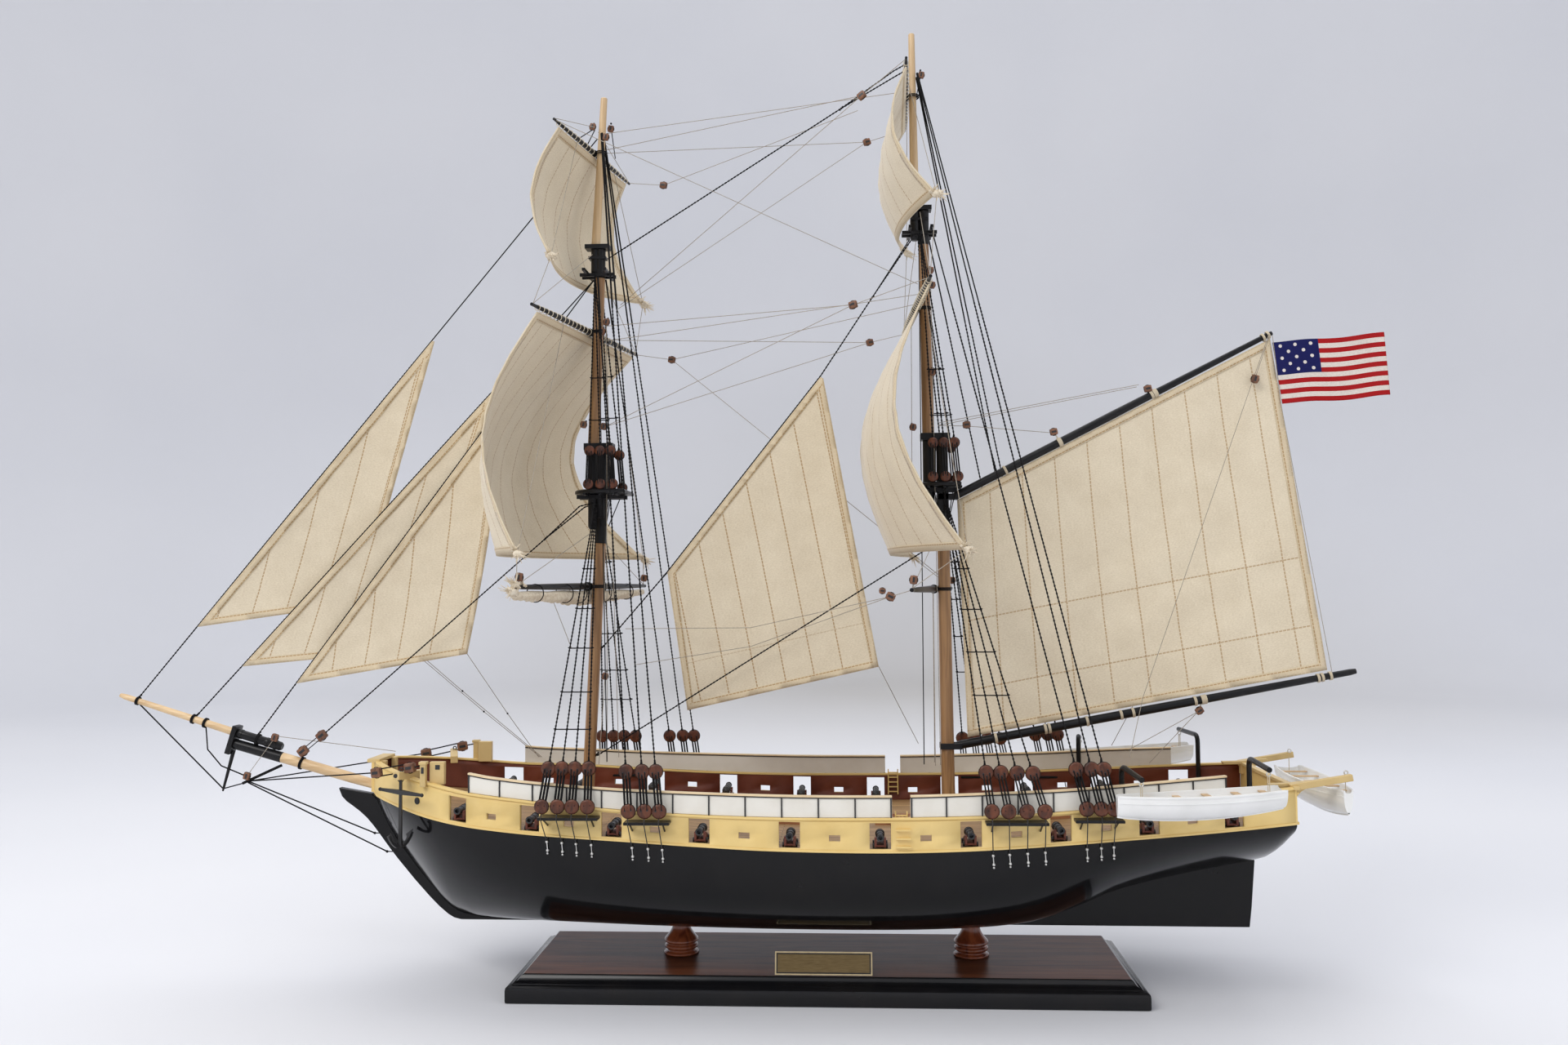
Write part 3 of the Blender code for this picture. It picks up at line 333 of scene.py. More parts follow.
# Hull
# A planked and filled hull, sanded smooth and painted in many coats of black gloss up to the
# yellow band. Stem, keel and the flat fin under the stern are one board let into it.
BREADTH = mm((-318, 3), (-312.5, 14), (-302, 27), (-280, 46), (-250, 63), (-220, 74.5), (-180, 84.5),
             (-120, 90.5), (-50, 93.6), (30, 94.5), (100, 92), (160, 87.2), (220, 78.5), (270, 67.5), (302, 58))
SHEER = mm((-318, 127.5), (-295, 124.8), (-260, 119), (-230, 115.8), (-193, 113.8), (-125, 110.8), (-80, 108.4),
           (-30, 106.1), (45, 105.3), (103, 106.7), (198, 111.8), (302, 116.8))
WALL_TOP = mm((-318, 150), (-260, 141), (-230, 136.8), (-193, 134.2), (-140, 130.2), (-95, 127.5), (-30, 125.6),
              (45, 125.6), (104, 126.5), (144, 128.2), (220, 133), (302, 139.2))
BOTTOM = mm((-316.5, 125.5), (-312, 115), (-305, 102), (-298, 91.5), (-288, 78.5), (-276, 64), (-265, 52),
            (-254, 45), (-235, 41.8), (-150, 41.5), (90, 41.5), (140, 45), (170, 54.5), (192.6, 63.5), (240, 74.5),
            (290.5, 85), (297.5, 90.5), (302, 98.5))
FULLNESS = ((-0.3165, 1.25), (-0.28, 1.3), (-0.24, 1.55), (-0.2, 1.85), (-0.1, 2.3), (0.05, 2.4),
            (0.12, 2.1), (0.19, 1.65), (0.25, 1.5), (0.302, 1.6))
NETTING_TOP = mm((-230, 150.8), (-213, 148.8), (-136, 144), (-77, 141.9), (-15, 140.5), (45, 140.4), (77, 141),
                 (157, 143.7), (215, 147.4), (256, 149.7))


def line_at(table, x):
    """A smooth value at x through the pairs of a hull line."""
    if x <= table[0][0]:
        return table[0][1]
    if x >= table[-1][0]:
        return table[-1][1]
    last = len(table) - 1
    i = max(k for k in range(last) if table[k][0] <= x)
    slopes = []
    for k in (i, i + 1):
        low, high = max(k - 1, 0), min(k + 1, last)
        slopes.append((table[high][1] - table[low][1]) / (table[high][0] - table[low][0]))
    span = table[i + 1][0] - table[i][0]
    t = (x - table[i][0]) / span
    return ((2 * t**3 - 3 * t**2 + 1) * table[i][1] + (t**3 - 2 * t**2 + t) * span * slopes[0]
            + (3 * t**2 - 2 * t**3) * table[i + 1][1] + (t**3 - t**2) * span * slopes[1])


def side_places(first, last, step):
    count = max(1, round(abs(last - first) / step))
    return [first + (last - first) * k / count for k in range(count + 1)]


def slab(bm, outline, push):
    """A flat board: a drawn outline pushed to its thickness; gives back the pushed face."""
    face = bm.faces.new([bm.verts.new(point) for point in outline])
    raised = ops.extrude_face_region(bm, geom=[face])["geom"]
    ops.translate(bm, vec=push, verts=[v for v in raised if isinstance(v, BMVert)])
    return [f for f in raised if isinstance(f, BMFace)]


hull_black = painted("hull_gloss_black", (0.0045, 0.0045, 0.0052), (0.007, 0.0065, 0.0065), 0.1, 0.03,
                     Specular_IOR_Level=0.12, Coat_Weight=0.22, Coat_Roughness=0.03)
keel_half = 0.00275


def hull_point(x, sine, cosine):
    """Half breadth and height of the hull's skin, from its round at x."""
    low, high, half = line_at(BOTTOM, x), line_at(SHEER, x), line_at(BREADTH, x)
    power = 2.0 / line_at(FULLNESS, x)
    return keel_half + (half - keel_half) * sine**power, low + (high - low) * (1 - max(0.0, cosine)**power)


stations = [-0.315 + 0.062 * (k / 22)**1.5 for k in range(23)]
stations += [stations[-1] + (0.25 - stations[-1]) * k / 40 for k in range(1, 41)]
stations += [0.25 + 0.052 * sin(pi / 2 * k / 12) for k in range(1, 13)]
rings = []
for x in stations:
    side = [hull_point(x, sin(pi / 2 * k / 26), cos(pi / 2 * k / 26)) for k in range(27)]
    rings.append([(x, -y, z) for y, z in side] + [(x, y, z) for y, z in reversed(side)])
hull = bmesh.new()
skin_rings(hull, rings)
keep("hull_planked", hull, hull_black, "black_gloss", "hull", sharp=50)

outline = mm((-343.7, 130.3), (-343.2, 128.8), (-341.3, 124.2), (-337.8, 120.6), (-333.7, 117.8), (-328.5, 114),
             (-323.1, 109.2), (-318.5, 104), (-314, 98.2), (-306.4, 88.1), (-300.5, 80.7), (-288.2, 66.3),
             (-277.6, 54.8), (-270.5, 47.8), (-264.2, 42.6), (-260, 40.2), (-255, 39), (287.4, 37.8), (289, 51),
             (291.7, 82.6), (290.8, 83.8))
outline += tuple((x, line_at(BOTTOM, x) - 0.0005) for x in reversed(stations) if x < 0.2905)
outline += mm((-319.5, 126.2))
keel = bmesh.new()
slab(keel, [(x, -keel_half, z) for x, z in outline], (0, 2 * keel_half, 0))
keel_board = keep("stem_keel_and_fin_board", keel, hull_black, "black_gloss", "stem_keel_and_fin")
round_edges = keel_board.modifiers.new("rounded_edges", "BEVEL")
round_edges.width, round_edges.segments, round_edges.limit_method = 0.0005, 2, "ANGLE"

# Yellow band
# The bulwark is a thin wall with ten gun ports on each side and small sweep ports between them,
# painted yellow outside and dark red-brown inside, under a cap rail.
yellow = painted("yellow_paint", (0.8, 0.585, 0.225), (0.74, 0.52, 0.18), 0.4, 0.15, Coat_Weight=0.1)
oxblood = painted("red_brown_paint", (0.175, 0.04, 0.018), (0.11, 0.024, 0.012), 0.42, 0.2)
port_middles = mm(-237.3, -185.8, -131.8, -75.9, -19.3, 37.1, 93.2, 148.8, 204.5, 259.7)
sweep_middles = mm(-212.6, -159.7, -103.8, -47.6, 8.8, 65.3, 121.2, 177.2, 232.3)


def side_point(x, inward, z, side=-1):
    """A point at the ship's side, moved inboard along the side's normal."""
    slope = (line_at(BREADTH, x + 0.0005) - line_at(BREADTH, x - 0.0005)) / 0.001
    normal = Vector((slope, -1.0)).normalized()
    return Vector((x + normal.x * inward, side * (line_at(BREADTH, x) + normal.y * inward), z))


def moulding(bm, places, section, level, side=-1):
    """A strip along the side; section pairs inboard distance with height above level, in mm."""
    skin_rings(bm, [[side_point(x, inward, level(x) + rise, side) for inward, rise in mm(*section)] for x in places])


def wall_top(x):
    return line_at(WALL_TOP, x)


port_half, sweep_half, stern_end = 0.00665, 0.0035, 0.3012
sides = ((-1, "port"), (1, "starboard"))
columns = list(mm(-317.8, -317, -315, -312, -308, -303, -298, -292, -286, -280, -273, -266, -259, -252))
cuts = sorted([(x - port_half, x + port_half) for x in port_middles]
              + [(x - sweep_half, x + sweep_half) for x in sweep_middles])
for first, last in cuts:
    columns += side_places(columns[-1], first, 0.012)[1:] + [last]
columns += side_places(columns[-1], stern_end, 0.012)[1:]
row_heights = mm(0, 2.2, 6.8, 10.7, 18.3)
for side, word in sides:
    wall = bmesh.new()
    ops.create_grid(wall, x_segments=len(columns) - 1, y_segments=5, size=0.5)
    rows = {}
    for vert in wall.verts:
        x, row = columns[round((vert.co.x + 0.5) * (len(columns) - 1))], round((vert.co.y + 0.5) * 5)
        rows[vert] = row
        sheer, top = line_at(SHEER, x) + 0.0003, wall_top(x)
        vert.co = side_point(x, 0, sheer + row_heights[row] if row < 5 else top, side)
        if row == 4:
            vert.co.z = min(vert.co.z, top - 0.0008)
    holes = []
    for face in wall.faces:
        x, row = face.calc_center_median().x, min(rows[v] for v in face.verts)
        if (any(abs(x - m) < port_half for m in port_middles) and 1 <= row <= 3
                or any(abs(x - m) < sweep_half for m in sweep_middles) and row == 2):
            holes.append(face)
    ops.delete(wall, geom=holes, context="FACES")
    made = keep("bulwark_wall_" + word, wall, (yellow, oxblood), "yellow_paint", "bulwark")
    outward = sum(f.normal.y for f in made.data.polygons) * side
    thick = made.modifiers.new("wall_thickness", "SOLIDIFY")
    thick.thickness, thick.use_even_offset, thick.material_offset, thick.offset = 0.0025, True, 1, -1.0
    if outward < 0:
        made.data.flip_normals()

rails = bmesh.new()
rail_places = side_places(-0.3176, stern_end, 0.008)
for side in (-1, 1):
    moulding(rails, rail_places, ((-0.8, 0.2), (-0.8, 1.2), (-0.4, 1.5), (2.9, 1.5), (3.3, 1.2), (3.3, 0.2), (3.1, 0),
                                  (-0.6, 0)), wall_top, side)
    moulding(rails, rail_places, ((-0.7, -0.1), (-0.7, 0.8), (-0.2, 1.2), (0.2, 1.2), (0.2, -0.1)),
             lambda x: line_at(SHEER, x) + 0.0004, side)
ops.create_cube(rails, size=1.0, matrix=Matrix.Translation((-0.3186, 0, 0.1394))
                @ Matrix.Diagonal((0.0022, 0.0072, 0.0236, 1)))
keep("bulwark_rails", rails, yellow, "yellow_paint", "bulwark")

# Deck
# Narrow deck planks between the bulwarks with hatches, gratings and a companion,
# and the guns on stepped wooden carriages run out to their ports.
deck_wood, tree, shader = node_material("deck_planks", 0.45)
outputs = use_effect(tree, streaked_wood, {"Vector": own_place(tree, (25, 260, 260)), "Pale": (0.47, 0.29, 0.13),
                                           "Deep": (0.3, 0.165, 0.07)})
planks = add_node(tree, "TexBrick", [
    ("Vector", own_place(tree)), ("Color1", (1, 1, 1, 1)), ("Color2", (0.72, 0.72, 0.72, 1)),
    ("Mortar", (0, 0, 0, 1)), ("Scale", 1.0), ("Mortar Size", 0.00018), ("Mortar Smooth", 0.2),
    ("Brick Width", 0.072), ("Row Height", 0.0042)], offset=0.37)
colour_with(tree, shader, blend_colours(tree, 1.0, outputs["Color"], planks.outputs["Color"], blend_type="MULTIPLY"))
relief(tree, shader, planks.outputs["Fac"], -0.5, 0.0002)
rings = []
for x in side_places(-0.3045, 0.2985, 0.012):
    x, half, _ = side_point(x, 0.0031, 0.0, 1)
    low = line_at(SHEER, x) + 0.0003
    rings.append([(x, -half, low), (x, half, low), (x, half, low + 0.0015), (x, 0, low + 0.0019),
                  (x, -half, low + 0.0015)])
deck = bmesh.new()
skin_rings(deck, rings)
keep("deck_planking", deck, deck_wood, "deck_planks", "deck_port", "deck_starboard")


def box(bm, centre, size, turn=Matrix(), taper=1.0):
    """A squared timber; taper narrows its top."""
    verts = ops.create_cube(bm, size=1.0)["verts"]
    ops.scale(bm, vec=(taper, taper, 1), verts=[v for v in verts if v.co.z > 0])
    ops.scale(bm, vec=size, verts=verts)
    ops.transform(bm, matrix=Matrix.Translation(centre) @ turn, verts=verts)
    return verts


def bevelled(bm, width, segments=1):
    ops.bevel(bm, geom=bm.edges[:], affect="EDGES", offset=width, segments=segments, profile=0.5, material=-1)


fittings, gratings = bmesh.new(), bmesh.new()
bar_gap = 0.0024
for x, length, width, height, grated in ((-0.11, 0.03, 0.026, 0.004, True), (-0.02, 0.052, 0.03, 0.004, True),
                                         (0.05, 0.03, 0.024, 0.004, True), (0.15, 0.034, 0.024, 0.012, False),
                                         (0.215, 0.024, 0.02, 0.008, False)):
    level = line_at(SHEER, x) + 0.0016
    top = level + height
    for sign in (-1, 1):
        box(fittings, (x, sign * (width / 2 - 0.0012), level + height / 2), (length, 0.0024, height))
        box(fittings, (x + sign * (length / 2 - 0.0012), 0, level + height / 2), (0.0024, width - 0.005, height))
        if not grated:
            box(fittings, (x, sign * width * 0.25, top + 0.0002), (length - 0.001, width * 0.48, 0.0012),
                Matrix.Rotation(-sign * 0.16, 4, "X"))
    for k in range(1, int(length / bar_gap) if grated else 0):
        box(gratings, (x - length / 2 + bar_gap * k, 0, top - 0.0009), (0.0009, width - 0.005, 0.0012))
    for k in range(1, int(width / bar_gap) if grated else 0):
        box(gratings, (x, -width / 2 + bar_gap * k, top - 0.001), (length - 0.005, 0.0009, 0.001))
bevelled(fittings, 0.0003)
hatch_wood = wooden("hatch_wood", (0.4, 0.17, 0.07), (0.2, 0.07, 0.03), (60, 260, 260), 0.4, Coat_Weight=0.3)
for name, timbers in (("hatch_coamings", fittings), ("hatch_gratings", gratings)):
    keep(name, timbers, hatch_wood, "deck_planks", "deck_port", "deck_starboard")


def peg(bm, radius, depth, centre=(0, 0, 0), turn=Matrix(), segments=6, tip=None):
    """A short round bar along Z, or a cone where it has a tip."""
    return ops.create_cone(bm, cap_ends=True, segments=segments, radius1=radius, radius2=tip or radius, depth=depth,
                           matrix=Matrix.Translation(centre) @ turn)["verts"]


def move_new(bm, old, centre, turn):
    """Turn and move what was added to a mesh since old was noted."""
    ops.transform(bm, matrix=Matrix.Translation(centre) @ turn, verts=[v for v in bm.verts if v not in old])


gun_black = painted("gun_black", (0.014, 0.014, 0.016), (0.035, 0.033, 0.032), 0.33, 0.3)
barrel_profile = mm((0, -23.6), (0.8, -23.5), (1.1, -22.8), (0.8, -22.1), (0.7, -21.6), (1.9, -21.2), (2.8, -20.7),
                    (3, -20.4), (3, -19.9), (2.7, -19.7), (2.6, -16), (2.9, -15.8), (2.9, -15.3), (2.5, -15.1),
                    (2.2, -9), (2.4, -8.8), (2.4, -8.4), (2.1, -8.2), (1.8, -1.2), (2.3, -0.8), (2.4, -0.3), (2.1, 0),
                    (1.3, 0.1), (1.2, -3), (0, -3))
barrels, carriages, wheels = bmesh.new(), bmesh.new(), bmesh.new()
for x in port_middles:
    for side in (-1, 1):
        level = line_at(SHEER, x) + 0.0018
        muzzle = Vector((x, side * (line_at(BREADTH, x) + 0.0004), level + 0.0078))
        old = set(barrels.verts)
        turned(barrel_profile, 16, barrels)
        move_new(barrels, old, muzzle, Matrix.Rotation(-side * radians(87), 4, "X"))
        for k in (-1, 1):
            for step in range(4):
                tall = 0.0058 - 0.0012 * step
                box(carriages, (x + k * 0.0029, muzzle.y - side * (0.0065 + 0.0036 * step), level + 0.0012 + tall / 2),
                    (0.0014, 0.0037, tall))
            for run in (0.0075, 0.018):
                axle = (x + k * 0.0042, muzzle.y - side * run, level + 0.0016)
                peg(wheels, 0.0016, 0.001, axle, Matrix.Rotation(pi / 2, 4, "Y"), 12)
        box(carriages, (x, muzzle.y - side * 0.0125, level + 0.0018), (0.0046, 0.015, 0.001))
keep("gun_barrels", barrels, gun_black, "black_paint", "deck_port", sharp=30)
keep("gun_carriages", carriages, oxblood, "deck_planks", "deck_port", "deck_starboard")
keep("gun_wheels", wheels, gun_black, "black_paint", "deck_port")


# Hammock nettings
# Off-white canvas troughs stand on the rail between the gangway and the bow and quarter,
# with dark iron cranes every 22 mm, a dark line and a light wooden strip along their top.
netting_canvas = painted("netting_canvas", (0.8, 0.77, 0.69), (0.72, 0.68, 0.59), 0.66, 0.35)
crane_iron = painted("crane_iron", (0.02, 0.019, 0.02), (0.04, 0.036, 0.034), 0.45)
pale_strip = wooden("pale_strip", (0.8, 0.64, 0.4), (0.66, 0.49, 0.28), (40, 300, 300), 0.42, Coat_Weight=0.2)


def netting_top(x):
    return line_at(NETTING_TOP, x)


for side, word in sides:
    for end, first, last in (("fore", -0.2295, 0.0445), ("aft", 0.056, 0.255)):
        cloth_wall, cranes, strip = bmesh.new(), bmesh.new(), bmesh.new()
        places = side_places(first, last, 0.006)
        rings = []
        for x in places:
            low, high = wall_top(x) + 0.0018, netting_top(x) - 0.0012
            rings.append([side_point(x, inward, z, side) for inward, z in (
                (0.0006, low), (0.0003, (low + high) / 2), (0.0006, high), (0.002, high),
                (0.0023, (low + high) / 2), (0.002, low))])
        skin_rings(cloth_wall, rings)
        netting = word + "_" + end
        keep("netting_canvas_" + netting, cloth_wall, netting_canvas, "white_canvas", "netting_" + netting)
        moulding(strip, places, ((-0.3, -0.8), (-0.3, -0.1), (0.1, 0.3), (2.6, 0.3), (3, -0.1), (3, -0.8)),
                 netting_top, side)
        keep("netting_strip_" + netting, strip, pale_strip, "white_canvas")
        moulding(cranes, places, ((0.1, -1.6), (0.1, -0.9), (2.5, -0.9), (2.5, -1.6)), netting_top, side)
        for x in side_places(first, last, 0.0222):
            x = min(max(x, first + 0.0006), last - 0.0006)
            low, high = wall_top(x) + 0.0014, netting_top(x) - 0.001
            box(cranes, side_point(x, 0.0001, (low + high) / 2, side), (0.0009, 0.0006, high - low))
        keep("netting_cranes_" + netting, cranes, crane_iron, "black_paint")


# Stern
# A yellow stern board with a row of small framed lights, a heavy taffrail on carved knees,
# and two square beams that run out aft to carry the stern boat.
def at(x, y, z):
    """A point or a step given in millimetres."""
    return Vector(mm(x, y, z))


def bar_between(bm, start, end, wide, tall):
    """A squared timber from one point to another, its length along its own Y axis."""
    box(bm, (start + end) / 2, (wide, (end - start).length, tall), aimed(end - start, "Y", "Z"))


stern_low, stern_high = line_at(SHEER, 0.302) + 0.0003, line_at(WALL_TOP, 0.302)
stern = bmesh.new()
half = line_at(BREADTH, 0.302)
slab(stern, [(stern_end, y, z) for y, z in ((-half, stern_low), (half, stern_low), (half, stern_high),
                                            (-half, stern_high))], (0.0012, 0, 0))
for z, tall in ((stern_low + 0.0008, 0.0016), (stern_high - 0.0024, 0.0012)):
    box(stern, (0.3028, 0, z), (0.0012, 2 * half, tall))
frames, panes = bmesh.new(), bmesh.new()
for k in range(-2, 3):
    middle = Vector((0.3026, k * 0.0195, (stern_low + stern_high) / 2))
    for sign in (-1, 1):
        box(frames, middle + at(0, sign * 5.8, 0), mm(1.2, 1, 11.2))
        box(frames, middle + at(0, 0, sign * 5.2), mm(1.2, 12.6, 1))
    box(frames, middle, mm(1, 0.6, 10))
    box(frames, middle, mm(1, 11.2, 0.6))
    box(panes, middle - at(0.3, 0, 0), mm(0.4, 11.2, 10))
keep("stern_board", stern, yellow, "yellow_paint", "transom")
keep("stern_light_frames", frames, netting_canvas, "white_gloss")
keep("stern_light_panes", panes, hull_black, "black_gloss")
khaki = painted("pale_timber_paint", (0.68, 0.5, 0.22), (0.57, 0.405, 0.165), 0.42, 0.2, Coat_Weight=0.15)
timbers = bmesh.new()
box(timbers, (0.3018, 0, stern_high + 0.001), (0.0042, 2 * half + 0.0036, 0.0024))
knee = mm((286, 142), (300, 142.4), (310, 143.6), (318, 144.2), (318.4, 142.6), (312, 140.2), (307, 137.2),
          (303, 133), (299, 133), (299, 140), (287, 139.8))
for sign in (-1, 1):
    bar_between(timbers, at(299, sign * 55, 140), at(338, sign * 55, 146.5), 0.004, 0.0042)
    slab(timbers, [(x, sign * 0.049, z) for x, z in knee], (0, sign * 0.0042, 0))
bevelled(timbers, 0.0003)
keep("taffrail_and_stern_davits", timbers, khaki, "yellow_paint", "transom")

# Boats
# Three open boats with a carved shell, painted white outside and in, with thwarts, a rubbing
# strake and a thin gunwale; two hang in the quarter davits and one under the stern davits.
boat_white = painted("boat_white", (0.88, 0.88, 0.86), (0.8, 0.8, 0.77), 0.26, 0.12, Coat_Weight=0.5)
thwart_wood = wooden("thwart_wood", (0.62, 0.42, 0.22), (0.45, 0.28, 0.13), (60, 260, 260), 0.4)


def boat_lines(spec, t):
    """Half breadth, depth and sheer of a boat at a share of its length."""
    width = spec[2] * max(0.12, sin(pi * (0.04 + 0.74 * t))**0.7)
    deep = spec[3] * (0.55 + 0.45 * sin(pi * (0.12 + 0.8 * t))**0.5)
    return width, deep, (t - 0.5) * spec[4] + 0.0012 * (2 * t - 1)**2 - 0.0012


def build_boat(name, spec, side, athwart):
    middle, length = Vector(spec[0]), spec[1]
    shares = (0, 0.008, 0.02, 0.04, 0.07, 0.11, 0.17, 0.25, 0.35, 0.45, 0.55, 0.65, 0.75, 0.84, 0.91, 0.96, 0.985, 1)
    shell, strake, seats = bmesh.new(), bmesh.new(), bmesh.new()
    rings, keel_line = [], []
    for t in shares:
        x, (width, deep, rise) = (t - 0.5) * length, boat_lines(spec, t)
        inner, floor_deep = max(width - 0.0009, width * 0.4), (deep - 0.0016) * (1.0 if 0.0 < t < 1.0 else 0.15)
        turn = [pi * i / 16 for i in range(17)]
        ring = [(width * cos(a), -deep * max(0.0, sin(a))**0.85) for a in turn]
        ring += [(inner * cos(a), -floor_deep * max(0.0, sin(a))**0.85) for a in reversed(turn)]
        rings.append([(x, y, z + rise) for y, z in ring])
        keel_line.append([(x, y, z - deep + rise) for y, z in mm((-0.5, 0.8), (0.5, 0.8), (0.5, -0.8), (-0.5, -0.8))])
    skin_rings(shell, rings)
    for sign in (-1, 1):
        for outset, z, thick, share in ((0.0004, -0.0004, 0.0007, 1.0), (0.0003, -0.004, 0.0005, 0.975)):
            run = []
            for t in shares[1:-1]:
                width, deep, rise = boat_lines(spec, t)
                run.append([((t - 0.5) * length, sign * (width * share + outset * dy), z + thick * dz + rise)
                            for dy, dz in ((-1.2, -1), (1, -0.8), (1, 0.8), (-1.2, 1))])
            skin_rings(strake, run)
    skin_rings(strake, keel_line)
    for t in (0.2, 0.38, 0.56, 0.74, 0.9):
        width, deep, rise = boat_lines(spec, t)
        box(seats, ((t - 0.5) * length, 0, rise - 0.0026), (0.0042, 2 * width - 0.0022, 0.0007))
    place = Matrix.Translation((middle.x, side * middle.y, middle.z))
    if athwart:
        place = place @ Matrix.Rotation(radians(90), 4, "Z")
    for part, bm, finish, nodes in (("_shell", shell, boat_white, (name,)), ("_strakes", strake, boat_white, ()),
                                    ("_thwarts", seats, thwart_wood, ())):
        ops.transform(bm, matrix=place, verts=bm.verts)
        keep(name + part, bm, finish, "white_gloss", *nodes, sharp=50 if nodes else 35)


quarter_boat = (mm(228.9, 105.5, 145.5), *mm(98.5, 13, 15.2, 5))
stern_boat = (mm(334.5, 0, 138.5), *mm(115, 12.5, 18, 0))
build_boat("quarter_boat_port", quarter_boat, -1, False)
build_boat("quarter_boat_starboard", quarter_boat, 1, False)
build_boat("stern_boat", stern_boat, 1, True)

# Davits
# Black bent iron davits with an eyelet at the end; each holds its boat by a thin rope fall.
davit_black = painted("davit_black", (0.006, 0.006, 0.007), (0.012, 0.011, 0.011), 0.3, 0.1, Specular_IOR_Level=0.22,
                      Coat_Weight=0.1)
silver = painted("bright_metal", (0.72, 0.71, 0.68), (0.55, 0.54, 0.5), 0.3, 0.2, Metallic=0.9)


def thread_mesh(bm, runs, radius, sides=6, twist=0.0, step=0.008, profile=None):
    """Ropes through lists of points: each is a curve with a small round or two-strand section."""
    section = bpy.data.curves.new("rope_section", "CURVE")
    section.dimensions = "2D"
    outline = section.splines.new("POLY")
    lobes = profile or [radius] * sides
    outline.points.add(len(lobes) - 1)
    for k, reach in enumerate(lobes):
        turn = 2 * pi * k / len(lobes)
        outline.points[k].co = (reach * cos(turn), reach * sin(turn), 0, 1)
    outline.use_cyclic_u = True
    rope = bpy.data.curves.new("rope", "CURVE")
    rope.dimensions = "3D"
    helpers = [bpy.data.objects.new(curve.name, curve) for curve in (section, rope)]
    rope.bevel_mode, rope.bevel_object, rope.use_fill_caps, rope.resolution_u = "OBJECT", helpers[0], True, 1
    for run in runs:
        run = [Vector(p) for p in run]
        points = [run[0]]
        for a, b in zip(run, run[1:]):
            count = max(1, ceil((b - a).length / step))
            points += [a.lerp(b, k / count) for k in range(1, count + 1)]
        spline = rope.splines.new("POLY")
        spline.points.add(len(points) - 1)
        travelled = 0.0
        for k, point in enumerate(points):
            travelled += (point - points[max(k - 1, 0)]).length
            spline.points[k].co = (*point, 1)
            spline.points[k].tilt = twist * travelled
    for helper in helpers:
        scene.collection.objects.link(helper)
    bpy.context.view_layer.update()
    made = bpy.data.meshes.new_from_object(helpers[1].evaluated_get(bpy.context.evaluated_depsgraph_get()))
    bm.from_mesh(made)
    for helper in helpers:
        bpy.data.objects.remove(helper)
    bpy.data.meshes.remove(made)


lay_flat = Matrix.Rotation(pi / 2, 4, "X")


def ring_eye(bm, centre, radius, thick, turn=lay_flat, steps=14):
    """A small ring round the Z axis of turn."""
    old = set(bm.verts)
    circle = ops.create_circle(bm, cap_ends=False, segments=6, radius=thick,
                               matrix=Matrix.Translation((radius, 0, 0)) @ lay_flat)
    edges = list({e for v in circle["verts"] for e in v.link_edges})
    ops.spin(bm, geom=circle["verts"] + edges, cent=(0, 0, 0), axis=(0, 0, 1), angle=2 * pi, steps=steps,
             use_merge=True)
    ops.remove_doubles(bm, verts=[v for v in bm.verts if v not in old], dist=0.00001)
    move_new(bm, old, centre, turn)


thread_cream = speckled("cream_thread", 0.85, 2500.0, (0.72, 0.63, 0.47), (0.48, 0.4, 0.27), 0.5, Sheen_Weight=0.3)
davit_bars, eyelets, falls = bmesh.new(), bmesh.new(), bmesh.new()
davit_runs, fall_runs = [], []
for side in (-1, 1):
    for x, top, tip_x, tip_z in mm((188.5, 157, 194.5, 152.5), (272, 159.5, 270, 158.7)):
        inner = side * (line_at(BREADTH, x) - 0.0062)
        tip = Vector((tip_x, side * 0.1073, tip_z))
        low, high = Vector((x, inner, line_at(SHEER, x) + 0.0021)), Vector((x, inner, top))
        below, beyond = high + (low - high).normalized() * 0.006, high + (tip - high).normalized() * 0.006
        bend = [below.lerp(high, s).lerp(high.lerp(beyond, s), s) for s in (0, 0.25, 0.5, 0.75, 1.0)]
        davit_runs.append([low, *bend, tip])
        ring_eye(eyelets, (tip.x, side * 0.1055, tip.z - 0.0028), 0.0012, 0.0004)
        width, deep, rise = boat_lines(quarter_boat, (tip_x - quarter_boat[0][0]) / quarter_boat[1] + 0.5)
        for fall_x in (tip.x - 0.0005, tip.x + 0.0005):
            fall_runs.append([(fall_x, side * 0.1055, tip.z - 0.0035),
                              (fall_x, side * 0.1055, quarter_boat[0][2] + rise - deep + 0.0018)])
    ring_eye(eyelets, mm(335, side * 53, 149.2), 0.0012, 0.0004)
    width, deep, rise = boat_lines(stern_boat, 0.5 + side * 0.053 / stern_boat[1])
    fall_runs.append([mm(334.5, side * 53, 145), (0.3345, side * 0.053, stern_boat[0][2] + rise - 0.6 * deep)])
thread_mesh(davit_bars, davit_runs, 0.0017, 12)
keep("quarter_davits", davit_bars, davit_black, "black_paint", "quarter_davit_port_fore", "quarter_davit_port_aft",
     "quarter_davit_starboard_fore", "quarter_davit_starboard_aft")
keep("davit_eyelets", eyelets, silver, "brass")
thread_mesh(falls, fall_runs, 0.00028)
keep("boat_falls", falls, thread_cream, "cordage")

# Anchors
# Two blackened anchors hang by a ring under the catheads, with wooden stocks and broad flukes.
def ball(bm, centre, radius):
    ops.create_uvsphere(bm, u_segments=10, v_segments=6, radius=radius, matrix=Matrix.Translation(centre))


